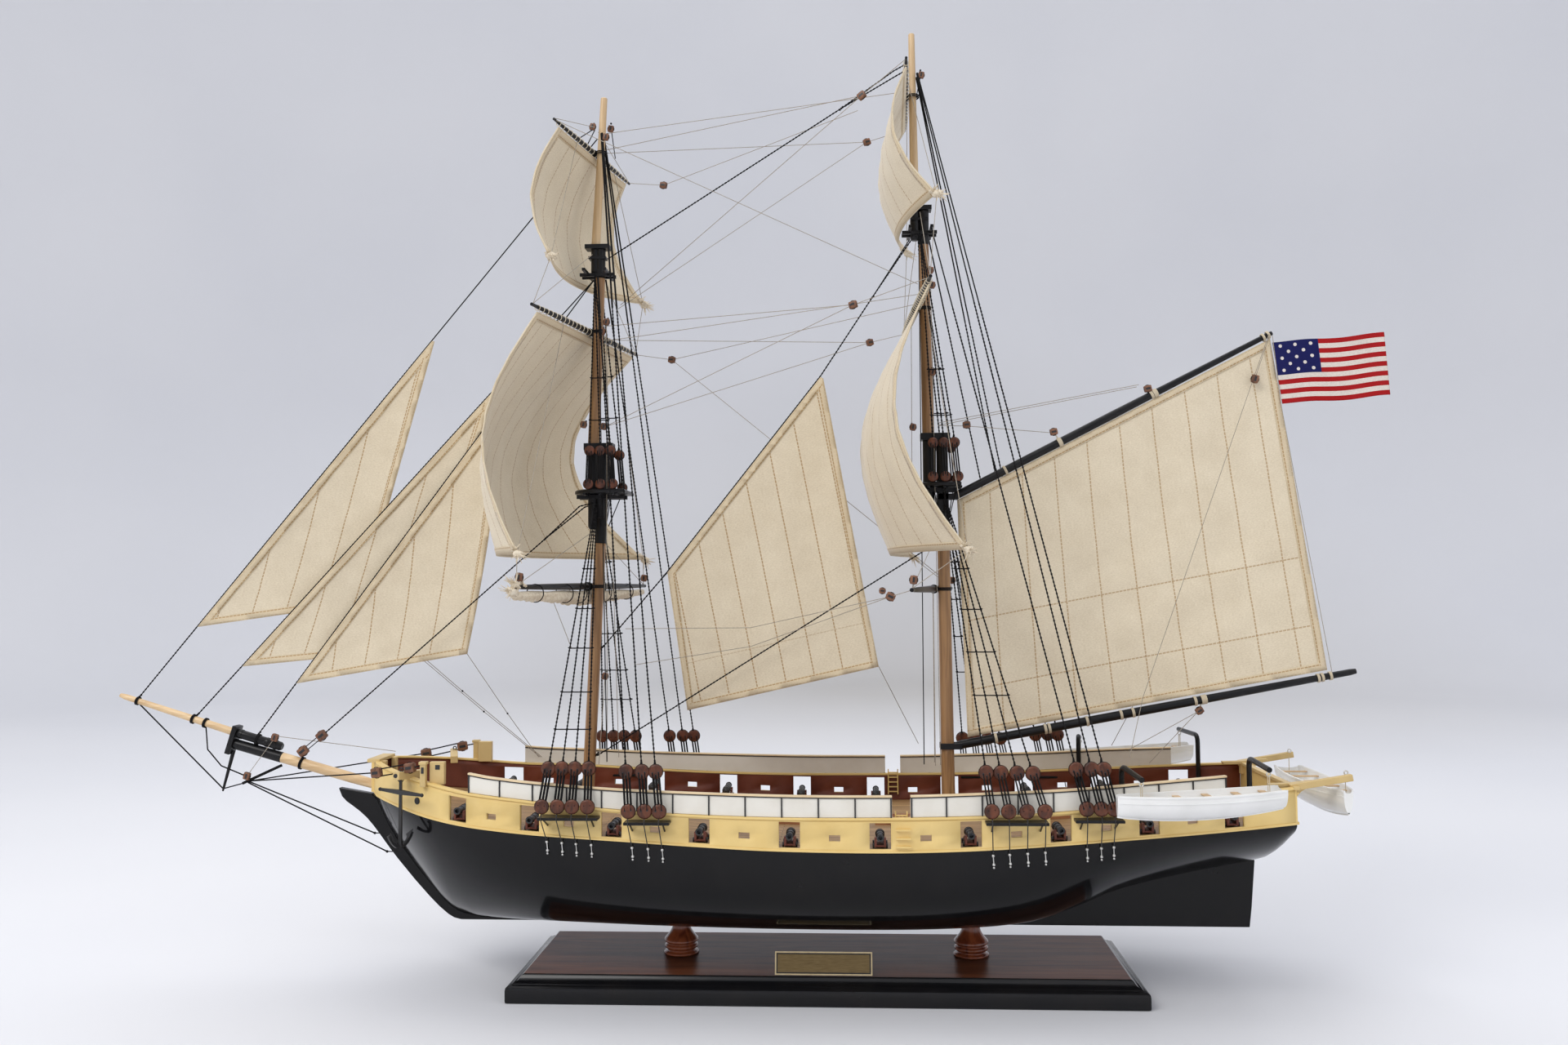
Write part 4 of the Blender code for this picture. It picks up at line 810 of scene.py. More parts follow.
anchor_black = painted("anchor_black", (0.01, 0.01, 0.011), (0.03, 0.028, 0.027), 0.42, 0.35)
for side, word in sides:
    anchor = bmesh.new()
    foot, head, centre = at(-279.5, side * 56, 100), at(-279.5, side * 56, 144.1), at(-279.5, side * 56, 136)
    stock = at(18, side * 12, 0)
    arm = Vector((-stock.y, stock.x, 0)).normalized()
    box(anchor, (foot + head) / 2, (0.0022, 0.0022, (head - foot).length), taper=0.75)
    for sign in (-1, 1):
        timber = box(anchor, (0, 0, 0), mm(23, 2.6, 3))
        ops.scale(anchor, vec=(1, 0.55, 0.55), verts=[v for v in timber if v.co.x > 0])
        ops.transform(anchor, matrix=Matrix.Translation(centre) @ aimed(stock * sign, "X", "Z")
                      @ Matrix.Translation((0.0115, 0, 0)), verts=timber)
        ball(anchor, centre + stock * sign * 1.03, 0.0013)
        bow = [foot + arm * sign * reach + Vector((0, 0, rise))
               for reach, rise in mm((0, 0), (2.8, 0.8), (5.4, 3), (7.6, 6), (8.8, 8.6))]
        for a, b in zip(bow, bow[1:]):
            box(anchor, (a + b) / 2, ((b - a).length * 1.12, 0.002, 0.0022), aimed(b - a, "X", "Z"))
        palm = peg(anchor, 0.0038, 0.0007, segments=3, tip=0.0034)
        ops.scale(anchor, vec=(1.25, 0.85, 1), verts=palm)
        up = (bow[-1] - bow[-2]).normalized()
        palm_axes = Matrix((up, up.cross(arm).normalized(), arm * sign)).transposed().to_4x4()
        ops.transform(anchor, matrix=Matrix.Translation(bow[-1] - up * 0.0016 - arm * sign * 0.001) @ palm_axes,
                      verts=palm)
    ring_eye(anchor, head + at(0, 0, 0.6), 0.002, 0.0003, steps=20)
    keep("anchor_" + word + "_forged", anchor, anchor_black, "black_paint", "anchor_" + word)

# Bow timbers
# Pale painted catheads, timberheads and a gammoning knee round the bowsprit, with hawse holes
# lined in dark metal and a hook and heart block at each side. Black discs and patches on the timbers
# and in the hawse holes are painted shade for their holes and slots.
bow_timbers, painted_shade_spots, hooks = bmesh.new(), bmesh.new(), bmesh.new()
for side in (-1, 1):
    start, end = at(-272, side * 33, 145.2), at(-281.2, side * 60.6, 147.4)
    bar_between(bow_timbers, start, end, 0.0052, 0.0052)
    peg(painted_shade_spots, 0.0014, 0.0006, end + (end - start).normalized() * 0.0002, lay_flat, 14)
    for bm, (x, y, z), size in ((bow_timbers, (-255, 54.5, 148.5), (10, 4, 15)),
                                (painted_shade_spots, (-254.5, 56.6, 152.5), (3, 0.4, 3)),
                                (bow_timbers, (-263.3, 58.5, 147.5), (3.8, 3.8, 15)),
                                (bow_timbers, (-263.3, 58.5, 155.6), (5.2, 5, 2)),
                                (painted_shade_spots, (-263.3, 60.9, 151), (1.6, 0.6, 4)),
                                (bow_timbers, (-308, 10, 144), (3.6, 3.6, 13))):
        box(bm, mm(x, side * y, z), mm(*size))
    hawse = side_point(-0.2692, -0.0003, 0.1298, side)
    slope = (side_point(-0.2682, 0, 0.1298, side) - side_point(-0.2702, 0, 0.1298, side)).normalized()
    aim = aimed(Vector((slope.y, -slope.x, 0)) * (-1 if side > 0 else 1))
    ring_eye(hooks, hawse, 0.0019, 0.0005, aim, 20)
    # A black disc inside the hawse ring is painted shade for the hole.
    peg(painted_shade_spots, 0.0016, 0.0008, hawse, aim, 16)
    ring_eye(hooks, mm(-279, side * 56, 150.8), 0.0012, 0.0004)
box(bow_timbers, mm(-314, 0, 151), mm(9, 30, 2.4))
bevelled(bow_timbers, 0.0003)
keep("bow_timbers", bow_timbers, khaki, "yellow_paint", "bulwark")
keep("bow_dark_spots", painted_shade_spots, gun_black, "black_paint")
keep("bow_hooks", hooks, anchor_black, "black_paint")


# Channels and chain plates
# Black planks along the side spread the shrouds; dark straps run from each deadeye down over
# the yellow band, and bright plates end them with two small bolts in the black hull.
channels = mm((-177.4, -139.1, 126.2, (-174.8, -164.9, -155.6, -145.7)), (-122.3, -93.6, 124, (-119.4, -109.2, -100.1)),
              (101.8, 139.9, 124.5, (105.4, 115.6, 126.7, 137.6)), (156.7, 186.4, 125.4, (163.6, 172.5, 180.4)))


def hull_side(x, z, side):
    """The point of the black hull's skin at x and z."""
    low, high = line_at(BOTTOM, x), line_at(SHEER, x)
    cosine = max(0.0, min(1.0, 1 - (z - low) / (high - low)))**(line_at(FULLNESS, x) / 2.0)
    return Vector((x, side * hull_point(x, sin(acos(cosine)), cosine)[0], z))


def stamp(bm, template, centre, turn):
    """Copy a small shape into a mesh at a place."""
    old = len(bm.verts)
    bm.from_mesh(template)
    bm.verts.ensure_lookup_table()
    ops.transform(bm, matrix=Matrix.Translation(centre) @ turn, verts=bm.verts[old:])


def template_mesh(name, bm):
    ops.recalc_face_normals(bm, faces=bm.faces)
    mesh = bpy.data.meshes.new(name)
    bm.to_mesh(mesh)
    bm.free()
    return mesh


rim = ((0.62, 0.0015), (0.84, 0.0013), (0.97, 0.0009), (1.0, 0.0006), (0.95, 0.0003))
disc = turned([(0.0, 0.0014), *rim, (0.93, 0.0), *[(r, -z) for r, z in reversed(rim)], (0.0, -0.0014)], 18)
deadeye_disc = template_mesh("deadeye_disc", disc)
block_wood = wooden("block_wood", (0.15, 0.043, 0.017), (0.032, 0.01, 0.006), (240, 240, 110), 0.4,
                    Specular_IOR_Level=0.35, Coat_Weight=0.1)
cord_black = speckled("black_cordage", 0.85, 1800.0, (0.004, 0.004, 0.005), (0.014, 0.013, 0.013), 0.6,
                      Specular_IOR_Level=0.2)
# holes gathers black discs of painted shade that stand for the holes in the deadeyes.
deadeyes, holes, plates, shelf, seizings = [bmesh.new() for _ in range(5)]
lanyards, chain_runs, shroud_feet = [], [], []


def deadeye_pair(lower, upper, size):
    """Two deadeyes one above the other with their three-part lanyard."""
    up = (upper - lower).normalized()
    across = Vector((up.z, 0, -up.x)).normalized()
    for centre, thick in ((upper, 0.00042), (lower, 0.00036)):
        stamp(deadeyes, deadeye_disc, centre, lay_flat @ Matrix.Diagonal((size, size, 1, 1)))
        ring_eye(seizings, centre, size * 0.98, thick, steps=16)
    for along, rise in ((-0.42, 0.12), (0.0, 0.45), (0.42, 0.12)):
        for sign in (-1, 1):
            low, high = [centre + across * along * size + up * rise * size * way
                         for centre, way in ((lower, 1), (upper, -1))]
            for centre in (low, high):
                # Black discs on both faces of each deadeye are painted shade standing for its holes.
                peg(holes, size * 0.14, 0.0006, centre + at(0, sign * 1.35, 0), lay_flat)
            lanyards.append([centre + at(0, sign * 1.7, 0) for centre in (low, high)])
    peg(seizings, 0.001, 0.0032, upper + up * (size + 0.0014), tip=0.0003)


shroud_heads = [mm((-158.5, 6.2, 333)), mm((-156, 15, 494.5), (-155.6, 3.5, 596), (-155, 3.5, 596.5)),
                mm((85, 6.6, 335)), mm((78, 15, 519.8), (70, 3.5, 633), (70.5, 3.5, 633.5))]
for group, (first, last, level, eyes) in enumerate(channels):
    reach = max(line_at(BREADTH, x) for x in (first, (first + last) / 2, last)) + 0.009
    inner = min(line_at(BREADTH, x) for x in (first, last)) - 0.0008
    for side in (-1, 1):
        box(shelf, ((first + last) / 2, side * (inner + reach) / 2, level), (last - first, reach - inner, 0.0018))
        for x in (first + 0.004, last - 0.004):
            bar_between(shelf, side_point(x, 0, level - 0.006, side),
                        Vector((x, side * (reach - 0.002), level - 0.0009)), 0.001, 0.001)
        for k, x in enumerate(eyes):
            lower = Vector((x, side * (reach - 0.0022), level + 0.0075))
            head = Vector(shroud_heads[group][k % len(shroud_heads[group])])
            head.y *= side
            up = (head - lower).normalized()
            upper = lower + up * 0.0245
            deadeye_pair(lower, upper, 0.0046)
            shroud_feet.append((group, side, upper + up * 0.0044, head))
            top, foot = [hull_side(x + dx, line_at(SHEER, x) - drop, side) + at(0, side * 0.7, 0)
                         for dx, drop in mm((1, 3), (1.4, 8.5))]
            chain_runs.append([Vector((x, side * (reach - 0.0006), level + 0.003)),
                               Vector((x, side * (reach + 0.0003), level - 0.0003)), top, foot])
            for spot, size in ((top, 0.001), (foot, 0.001), (foot - at(0, 0, 1.9), 0.0007)):
                ball(plates, spot, size)
bevelled(shelf, 0.0002)
keep("channels", shelf, davit_black, "black_paint", "bulwark")
straps = bmesh.new()
thread_mesh(straps, [run[:3] for run in chain_runs], 0.00034)
keep("chain_straps", straps, crane_iron, "black_paint")
thread_mesh(plates, [run[2:] for run in chain_runs], 0.00032)
keep("chain_plates", plates, silver, "brass")

# Gangway steps
# Three painted steps outside at the gangway, and a short ladder inside, glued to the bulwark.
steps = bmesh.new()
for side in (-1, 1):
    for k in range(3):
        box(steps, side_point(0.0512, -0.001, line_at(SHEER, 0.0512) + 0.004 + 0.0052 * k, side), mm(9.5, 2.2, 1))
    for x in (0.0468, 0.054):
        box(steps, side_point(x, 0.0042, 0.121, side), mm(0.8, 1, 19))
    for k in range(5):
        box(steps, side_point(0.0504, 0.0042, 0.1135 + 0.0036 * k, side), mm(7.2, 1.4, 0.7))
keep("gangway_steps", steps, yellow, "yellow_paint")

# Masts and tops
# Each lower mast is stained wood; the doublings, tops, crosstrees and caps are painted black,
# and the topgallant masts are left light. The tops carry deadeyes in the same red-brown wood.
mast_stain = wooden("mast_wood", (0.37, 0.2, 0.08), (0.17, 0.082, 0.03), (330, 330, 16), 0.4, Coat_Weight=0.12)
pine = wooden("pine", (0.66, 0.47, 0.26), (0.47, 0.305, 0.15), (330, 330, 16), 0.42, Coat_Weight=0.15)
pine_along = wooden("pine_bowsprit", (0.74, 0.535, 0.3), (0.56, 0.37, 0.185), (16, 330, 330), 0.42,
                    (0, radians(16), 0), Coat_Weight=0.15)


def flat(point):
    """A point of the centre plane."""
    return Vector((point[0], 0, point[1]))


def turned_spar(bm, start, end, profile, steps=24):
    """A spar turned between two points; profile pairs a share of its length with a radius in mm."""
    start, end = Vector(start), Vector(end)
    length = (end - start).length
    old = set(bm.verts)
    closed = [(0.0, profile[0][0]), *[(r / 1000, share) for share, r in profile], (0.0, profile[-1][0])]
    turned([(r, share * length) for r, share in closed], steps, bm)
    move_new(bm, old, start, aimed(end - start))


for name, start, end, first, last, finish, slot in (
        ("fore_lower_mast", (-166.3, 115), (-157, 302.5), 4.3, 4.0, mast_stain, "mast_wood"),
        ("main_lower_mast", (86, 108.5), (84.8, 302.5), 4.7, 4.3, mast_stain, "mast_wood"),
        ("fore_topmast", (-161.7, 372.5), (-157.1, 492), 4.1, 3.6, mast_stain, "mast_wood"),
        ("main_topmast", (75.1, 376.5), (73.6, 511.2), 4.1, 3.6, mast_stain, "mast_wood"),
        ("fore_topgallant_mast", (-160.2, 515.5), (-154.2, 623), 3.2, 2.4, pine, "pine"),
        ("main_topgallant_mast", (67.7, 538), (66.8, 663), 3.2, 2.2, pine, "pine")):
    mast = bmesh.new()
    profile = [(k / 12, first + (last - first) * k / 12) for k in range(12)] + [(0.995, last), (1.0, last * 0.82)]
    turned_spar(mast, flat(mm(*start)), flat(mm(*end)), profile)
    keep(name + "_turned", mast, finish, slot, name)

for name, low, high, heel_x, radius, platform, reach, cap_top in (
        ("fore_top", (-0.157, 0.302), (-0.1535, 0.369), -0.1617, 4.0, 0.3372, (-0.1747, -0.1366), 0.3728),
        ("main_top", (0.0848, 0.302), (0.0846, 0.373), 0.0751, 4.3, 0.3396, (0.064, 0.0962), 0.3768)):
    top = bmesh.new()
    turned_spar(top, flat(low), flat(high), ((0, radius), (0.1, radius), (1, radius * 0.92)))
    turned_spar(top, (heel_x, 0, low[1] + 0.01), (heel_x, 0, high[1]), ((0, 3), (0.03, 4), (0.97, 4), (1, 3.8)))
    box(top, ((high[0] + heel_x) / 2, 0, cap_top - 0.0024), mm(20.5, 11, 4.8))
    for sign in (-1, 1):
        box(top, (sum(reach) / 2, sign * 0.0052, platform - 0.0026), (reach[1] - reach[0] - 0.004, 0.002, 0.0028))
        box(top, (low[0], sign * 0.0046, platform - 0.0098), mm(7, 1.6, 15))
    for k in range(3):
        box(top, (reach[0] + 0.01 + 0.011 * k, 0, platform - 0.0014), mm(1.8, 36, 1.4))
    half = 0.0205
    outline = [(reach[1], -half), *[(reach[0] + half - half * sin(pi * k / 24), -half * cos(pi * k / 24))
                                    for k in range(25)], (reach[1], half)]
    lid = slab(top, [(x, y, platform - 0.0006) for x, y in outline], (0, 0, 0.0019))
    ops.inset_region(top, faces=lid, thickness=0.0012, depth=-0.0008)
    keep(name + "_timbers", top, davit_black, "black_paint", name)
    for side in (-1, 1):
        for k in range(3):
            x = reach[0] + 0.013 + 0.0085 * k
            lower = Vector((x, side * 0.0185, platform + 0.0055))
            upper = Vector((x + (0.5 * (high[0] + heel_x) - x) * 0.14, side * 0.0168, platform + 0.029))
            deadeye_pair(lower, upper, 0.0036)
            shroud_feet.append((4 if name == "fore_top" else 5, side, upper + at(0, 0, 3.4), None))
            lanyards.append([lower - at(0, 0, 4), (x * 0.4 + low[0] * 0.6, side * 0.0046, platform - 0.023)])

for name, low, high, low_x, high_x, level in (
        ("fore_crosstrees", 0.492, 0.5156, -0.1571, -0.1602, 0.4935),
        ("main_crosstrees", 0.5111, 0.5382, 0.0736, 0.0677, 0.5188)):
    trees = bmesh.new()
    middle = (low_x + high_x) / 2
    turned_spar(trees, (low_x, 0, low - 0.0003), (low_x + 0.0006, 0, high), ((0, 3.7), (1, 3.4)))
    turned_spar(trees, (high_x, 0, low + 0.003), (high_x, 0, high), ((0, 2.8), (0.06, 3.4), (1, 3.3)))
    for dx, y, z, size in ((0, 0, high - 0.0016, (17.4, 10, 3.1)), (0, 0, high - 0.0095, (12.5, 7.5, 2)),
                           (0, -0.004, level, (24.5, 1.8, 2.4)), (0, 0.004, level, (24.5, 1.8, 2.4)),
                           (-0.007, 0, level + 0.001, (2.2, 34, 2)), (0.008, 0, level + 0.001, (2.2, 34, 2))):
        box(trees, (middle + dx, y, z), mm(*size))
    bevelled(trees, 0.0001)
    keep(name + "_timbers", trees, davit_black, "black_paint", name)

# Bowsprit and jibboom
# The bowsprit leans out over the stem through the gap in the rail; the jibboom lies on it,
# runs through a black cap and carries the stays, with the dolphin striker hanging below.
sprit, boom_bar, heel, cap = [bmesh.new() for _ in range(4)]
heel_start, heel_end = at(-386, 0, 158.7), at(-420, 0, 168.9)
for bm, start, end, profile in (
        (sprit, at(-314, 0, 131.1), at(-386, 0, 151.2), ((0, 3.1), (0.3, 3.6), (1, 3.6))),
        (cap, at(-385.8, 0, 151.1), at(-421.2, 0, 161), ((0, 3.6), (0.02, 3.8), (0.98, 3.7), (1, 3.5))),
        (boom_bar, at(-416.8, 0, 167.7), at(-506, 0, 195.7), ((0, 2.7), (0.05, 2.7), (0.96, 2), (1, 1.4))),
        (heel, heel_start, heel_end, ((0, 2.2), (0.04, 3.1), (1, 3.1))),
        *[(heel, heel_start.lerp(heel_end, share), heel_start.lerp(heel_end, share + 0.05), ((0, 3.4), (1, 3.4)))
          for share in (0.12, 0.3, 0.86)]):
    turned_spar(bm, start, end, profile)
box(cap, mm(-421.8, 0, 164), mm(3.6, 10, 20.5), Matrix.Rotation(radians(17), 4, "Y"))
bevelled(cap, 0.0004, 2)
turned_spar(cap, at(-421.8, 0, 156), at(-429.3, 0, 127.4), ((0, 1.4), (0.9, 0.9), (1, 0.6)), 12)
keep("bowsprit_turned", sprit, pine_along, "pine", "bowsprit")
keep("jibboom_turned", boom_bar, pine_along, "pine", "jibboom")
keep("jibboom_heel", heel, davit_black, "black_paint", "jibboom")
keep("bowsprit_cap_and_striker", cap, davit_black, "black_paint", "bowsprit")

# Yards, gaff and boom
# Slim black spars thicker in the middle; the yards are braced round with their port ends
# forward. Gaff and boom have jaws that grip the main mast. Radii are in millimetres.
yards = {
    "fore_lower_yard": ((-0.166, 0.2715), 0.118, 2.4, 1.3, 10.3, -0.1585),
    "fore_topsail_yard": ((-0.1648, 0.453), 0.095, 2.1, 1.1, 10.8, -0.1586),
    "fore_topgallant_yard": ((-0.1613, 0.5825), 0.071, 1.8, 0.9, 10.3, -0.1565),
    "main_lower_yard": ((0.0778, 0.268), 0.118, 2.4, 1.3, 10.0, 0.085),
    "main_topsail_yard": ((0.0675, 0.4655), 0.095, 2.1, 1.1, -3.0, 0.0741),
    "main_topgallant_yard": ((0.062, 0.6175), 0.068, 1.8, 0.9, 1.7, 0.0671)}


def yard_direction(angle):
    """From port to starboard, with the port end forward for a positive angle."""
    return Vector((sin(radians(angle)), cos(radians(angle)), 0))


parrels = bmesh.new()
for name, (middle, half, radius, tip, angle, mast_x) in yards.items():
    yard = bmesh.new()
    along = yard_direction(angle)
    profile = [(0, tip), (0.04, tip), (0.042, tip * 1.12), (0.225, radius * 0.85), (0.4, radius)]
    profile += [(round(1 - share, 3), r) for share, r in reversed(profile)]
    turned_spar(yard, flat(middle) - along * half, flat(middle) + along * half, profile)
    keep(name + "_turned", yard, davit_black, "black_paint", name)
    for rise in (-0.0006, 0.0006):
        ring_eye(parrels, (mast_x, 0, middle[1] + rise), 0.0047 if "lower" in name else 0.0042, 0.0005, Matrix(), 20)
        ring_eye(parrels, flat(middle) + along * rise * 2, radius / 1000 + 0.0004, 0.0004, aimed(along))
gaff_line, boom_line = ((0.0925, 0.3323), (0.313, 0.4436)), ((0.0912, 0.1596), (0.3632, 0.2101))
for name, (start, end), first, last in (("gaff", gaff_line, 2.8, 1.8), ("spanker_boom", boom_line, 3.0, 2.2)):
    bar = bmesh.new()
    turned_spar(bar, flat(start), flat(end),
                ((0, first * 0.8), (0.012, first), (0.5, first), (0.985, last), (1, last * 0.8)))
    for sign in (-1, 1):
        box(bar, (0.088, sign * 0.0046, start[1]), mm(15, 1.6, 4))
    keep(name + "_turned", bar, davit_black, "black_paint", name)
keep("yard_parrels", parrels, cord_black, "cordage")


# Sail cloth
# Every sail is unbleached cotton with a visible weave, dashed brown stitching along its seams,
# and a doubled hem with its own line of stitches. Seams and reef bands follow the cut in metres.
woven, enter, leave = effect(
    "woven_cotton", {"Vector": Vector(), "Pale": (0.7, 0.6, 0.45), "Deep": (0.5, 0.42, 0.3)},
    {"Color": "Color", "Height": "Float"})
thread_gap, cloth_step, roband_gap = 0.00055, 0.0048, 0.0062
parts = add_node(woven, "SeparateXYZ", [(0, enter["Vector"])]).outputs
warp, weft = [maths(woven, "SINE", maths(woven, "MULTIPLY", parts[axis], 2 * pi / thread_gap)) for axis in (0, 1)]
squeezed = add_node(woven, "Mapping", [("Vector", enter["Vector"]), ("Scale", (700, 1500, 900))]).outputs[0]
slubs = noise(woven, squeezed, 1.0, 4.0)
stains = noise(woven, enter["Vector"], 38.0, 7.0, Roughness=0.72)
shade = maths(woven, "MULTIPLY_ADD", stains, 1.05, maths(woven, "MULTIPLY_ADD", slubs, 1.5, -0.78))
shade = add_node(woven, "Clamp", [(0, shade)]).outputs[0]
woven.links.new(blend_colours(woven, shade, enter["Pale"], enter["Deep"]), leave["Color"])
woven.links.new(maths(woven, "MULTIPLY_ADD", maths(woven, "ADD", warp, weft), 0.16, slubs), leave["Height"])

stitched, enter, leave = effect(
    "stitched_lines", {"Across": 0.0, "Along": 0.0, "Spacing": 0.02, "Width": 0.0006, "Stitch": 0.0026},
    {"Mask": "Float"})
reach = enter["Across"]
for operation, value in (("DIVIDE", enter["Spacing"]), ("ADD", 0.5), ("FRACT", 0.0), ("SUBTRACT", 0.5),
                         ("ABSOLUTE", 0.0), ("MULTIPLY", enter["Spacing"]), ("LESS_THAN", enter["Width"])):
    reach = maths(stitched, operation, reach, value)
beat = maths(stitched, "FRACT", maths(stitched, "DIVIDE", enter["Along"], enter["Stitch"]))
stitched.links.new(maths(stitched, "MULTIPLY", reach, maths(stitched, "LESS_THAN", beat, 0.8)), leave["Mask"])

canvas_pale, canvas_deep, stitch_brown = (0.81, 0.715, 0.54), (0.62, 0.52, 0.365), (0.42, 0.265, 0.115)


def sail_material(name, lines, pale=canvas_pale, deep=canvas_deep):
    """Cotton with lines of stitches; each line gives UV axis, spacing, shift, width and strength."""
    made, tree, shader = node_material(name, 0.88, Sheen_Weight=0.25)
    uv = add_node(tree, "UVMap", uv_map="cut").outputs[0]
    outputs = use_effect(tree, woven, {"Vector": uv, "Pale": pale, "Deep": deep})
    parts = add_node(tree, "SeparateXYZ", [(0, uv)]).outputs
    colour, height = outputs["Color"], outputs["Height"]
    for axis, spacing, shift, width, strength in lines:
        mask = use_effect(tree, stitched, {"Across": maths(tree, "SUBTRACT", parts[axis], shift),
                                           "Along": parts[1 - axis], "Spacing": spacing, "Width": width})["Mask"]
        colour = blend_colours(tree, maths(tree, "MULTIPLY", mask, strength), colour, stitch_brown)
        height = maths(tree, "MULTIPLY_ADD", mask, -0.9, height)
    colour_with(tree, shader, colour)
    relief(tree, shader, height, 0.45, 0.00015)
    return made


hem_cloth = sail_material("hem_cloth", ((0, 0.5, 0.0042, 0.0004, 0.9), (0, 0.5, 0.0007, 0.0003, 0.4)),
                          (0.73, 0.615, 0.43), (0.59, 0.475, 0.305))
tuft_cloth = wooden("frayed_cloth", (0.78, 0.7, 0.56), (0.6, 0.5, 0.36), (600, 600, 600), 0.9)


def cut_cloth(corners, hem, step, cut_at):
    """The flat cut: one face, cut along its hems and then into small faces for bending."""
    cloth = bmesh.new()
    cloth.faces.new([cloth.verts.new((s, 0, t)) for s, t in corners])
    sides = []
    for (s0, t0), (s1, t1) in zip(corners, corners[1:] + corners[:1]):
        sides.append((Vector((s0, 0, t0)), Vector((t0 - t1, 0, s1 - s0)).normalized()))
    planes = [(point + inward * hem, inward) for point, inward in sides]
    for axis, no in ((0, Vector((1, 0, 0))), (1, Vector((0, 0, 1)))):
        low, high = min(c[axis] for c in corners), max(c[axis] for c in corners)
        planes += [(no * (low + k * step), no) for k in range(1, int((high - low) / step) + 1)]
    for point, no in planes:
        ops.bisect_plane(cloth, geom=cloth.verts[:] + cloth.edges[:] + cloth.faces[:], plane_co=point, plane_no=no)
    uv = cloth.loops.layers.uv.new("cut")
    for face in cloth.faces:
        for loop in face.loops:
            loop[uv].uv = cut_at(loop.vert.co)
    return cloth, sides


def hang(name, cloth, bend_to, finish, slot, nodes, thick):
    """Bend a flat cut to its hung shape and give it its thickness."""
    for vert in cloth.verts:
        vert.co = bend_to(vert.co)
    area = sum(face.calc_area() for face in cloth.faces)
    piece = keep(name, cloth, finish, slot, *nodes, sharp=60)
    solid = piece.modifiers.new("cloth_thickness", "SOLIDIFY")
    solid.thickness, solid.offset = thick, 0.0
    return piece, area


def sew_sail(name, corners, bend_to, cut_at, finish, hem=0.0052):
    """Cut, hem and bend one sail. corners run anticlockwise in the flat cut."""
    cloth, sides = cut_cloth(corners, hem, cloth_step, cut_at)
    border = cloth.copy()
    uv = border.loops.layers.uv["cut"]
    inner = []
    for face in border.faces:
        centre = face.calc_center_median()
        away, point, inward = min((((centre - point).dot(inward), point, inward) for point, inward in sides),
                                  key=lambda r: r[0])
        if away > hem:
            inner.append(face)
            continue
        for loop in face.loops:
            step = loop.vert.co - point
            loop[uv].uv = (step.dot(inward), step.dot(Vector((inward.z, 0, -inward.x))))
    ops.delete(border, geom=inner, context="FACES")
    sail, area = hang(name + "_canvas", cloth, bend_to, finish, "sail_cloth", (name,), 0.0005)
    hems, _ = hang(name + "_canvas_hems", border, bend_to, hem_cloth, "sail_cloth", (), 0.0012)
    foot_left, foot_right, head_right, head_left = [flat(corners[k]) for k in (0, 1, -2, -1)]
    width = max((bend_to(foot_left) - bend_to(foot_right)).length, (bend_to(head_left) - bend_to(head_right)).length)
    for share in (0.0, 0.5, 1.0):
        low, high = foot_left.lerp(foot_right, share), head_left.lerp(head_right, share)
        run = [bend_to(low.lerp(high, k / 12)) for k in range(13)]
        sum((b - a).length for a, b in zip(run, run[1:]))


def ruffle(point, size=0.0005):
    """Small uneven puckers in the hung cloth."""
    return size * sin(point.x * 190 + 3.1 * sin(point.z * 70)) * sin(point.z * 150 + 2.0)


# Square sails
# Each is laced to its yard by white robands and sheeted down to the yard below, so that its
# leeches bow forward; thin cloth is knotted and frayed where the clews are tied.
square_sails = {
    "fore_topsail": ("fore_topsail_yard", 0.086, (-0.1864, -0.1454, 0.112, 0.2925), (0.0285, 0.051), 0.052, 0.0),
    "fore_topgallant_sail": ("fore_topgallant_yard", 0.063, (-0.1751, -0.1386, 0.073, 0.4892), (0.016, 0.016),
                             0.016, 0.004),
    "main_topsail": ("main_topsail_yard", 0.086, (0.0918, 0.0679, 0.112, 0.2926), (0.032, 0.032), 0.03, 0.0),
    "main_topgallant_sail": ("main_topgallant_yard", 0.06, (0.0784, 0.0647, 0.0733, 0.5246), (0.018, 0.018),
                             0.014, 0.004)}
square_cloth = sail_material("square_sail_cloth", ((0, 0.0205, 0.0, 0.00042, 0.85),))
robands, tufts = bmesh.new(), bmesh.new()
draws = random.Random(7)


def tuft(centre, outward, size):
    """A knot of frayed cloth: a crumpled lump with loose strands."""
    lump = ops.create_icosphere(tufts, subdivisions=2, radius=size)["verts"]
    for vert in lump:
        vert.co *= 0.62 + 0.55 * draws.random()
        vert.co.z *= 0.7
    ops.translate(tufts, vec=centre, verts=lump)
    outward = Vector(outward).normalized()
    for _ in range(16):
        aim = outward + Vector((draws.uniform(-1, 1), draws.uniform(-1, 1), draws.uniform(-0.9, 0.7))) * 0.8
        aim = aim.normalized()
        long = size * draws.uniform(1.0, 2.1)
        peg(tufts, 0.00045, long, centre + aim * long * 0.6, aimed(aim), 5, 0.0002)


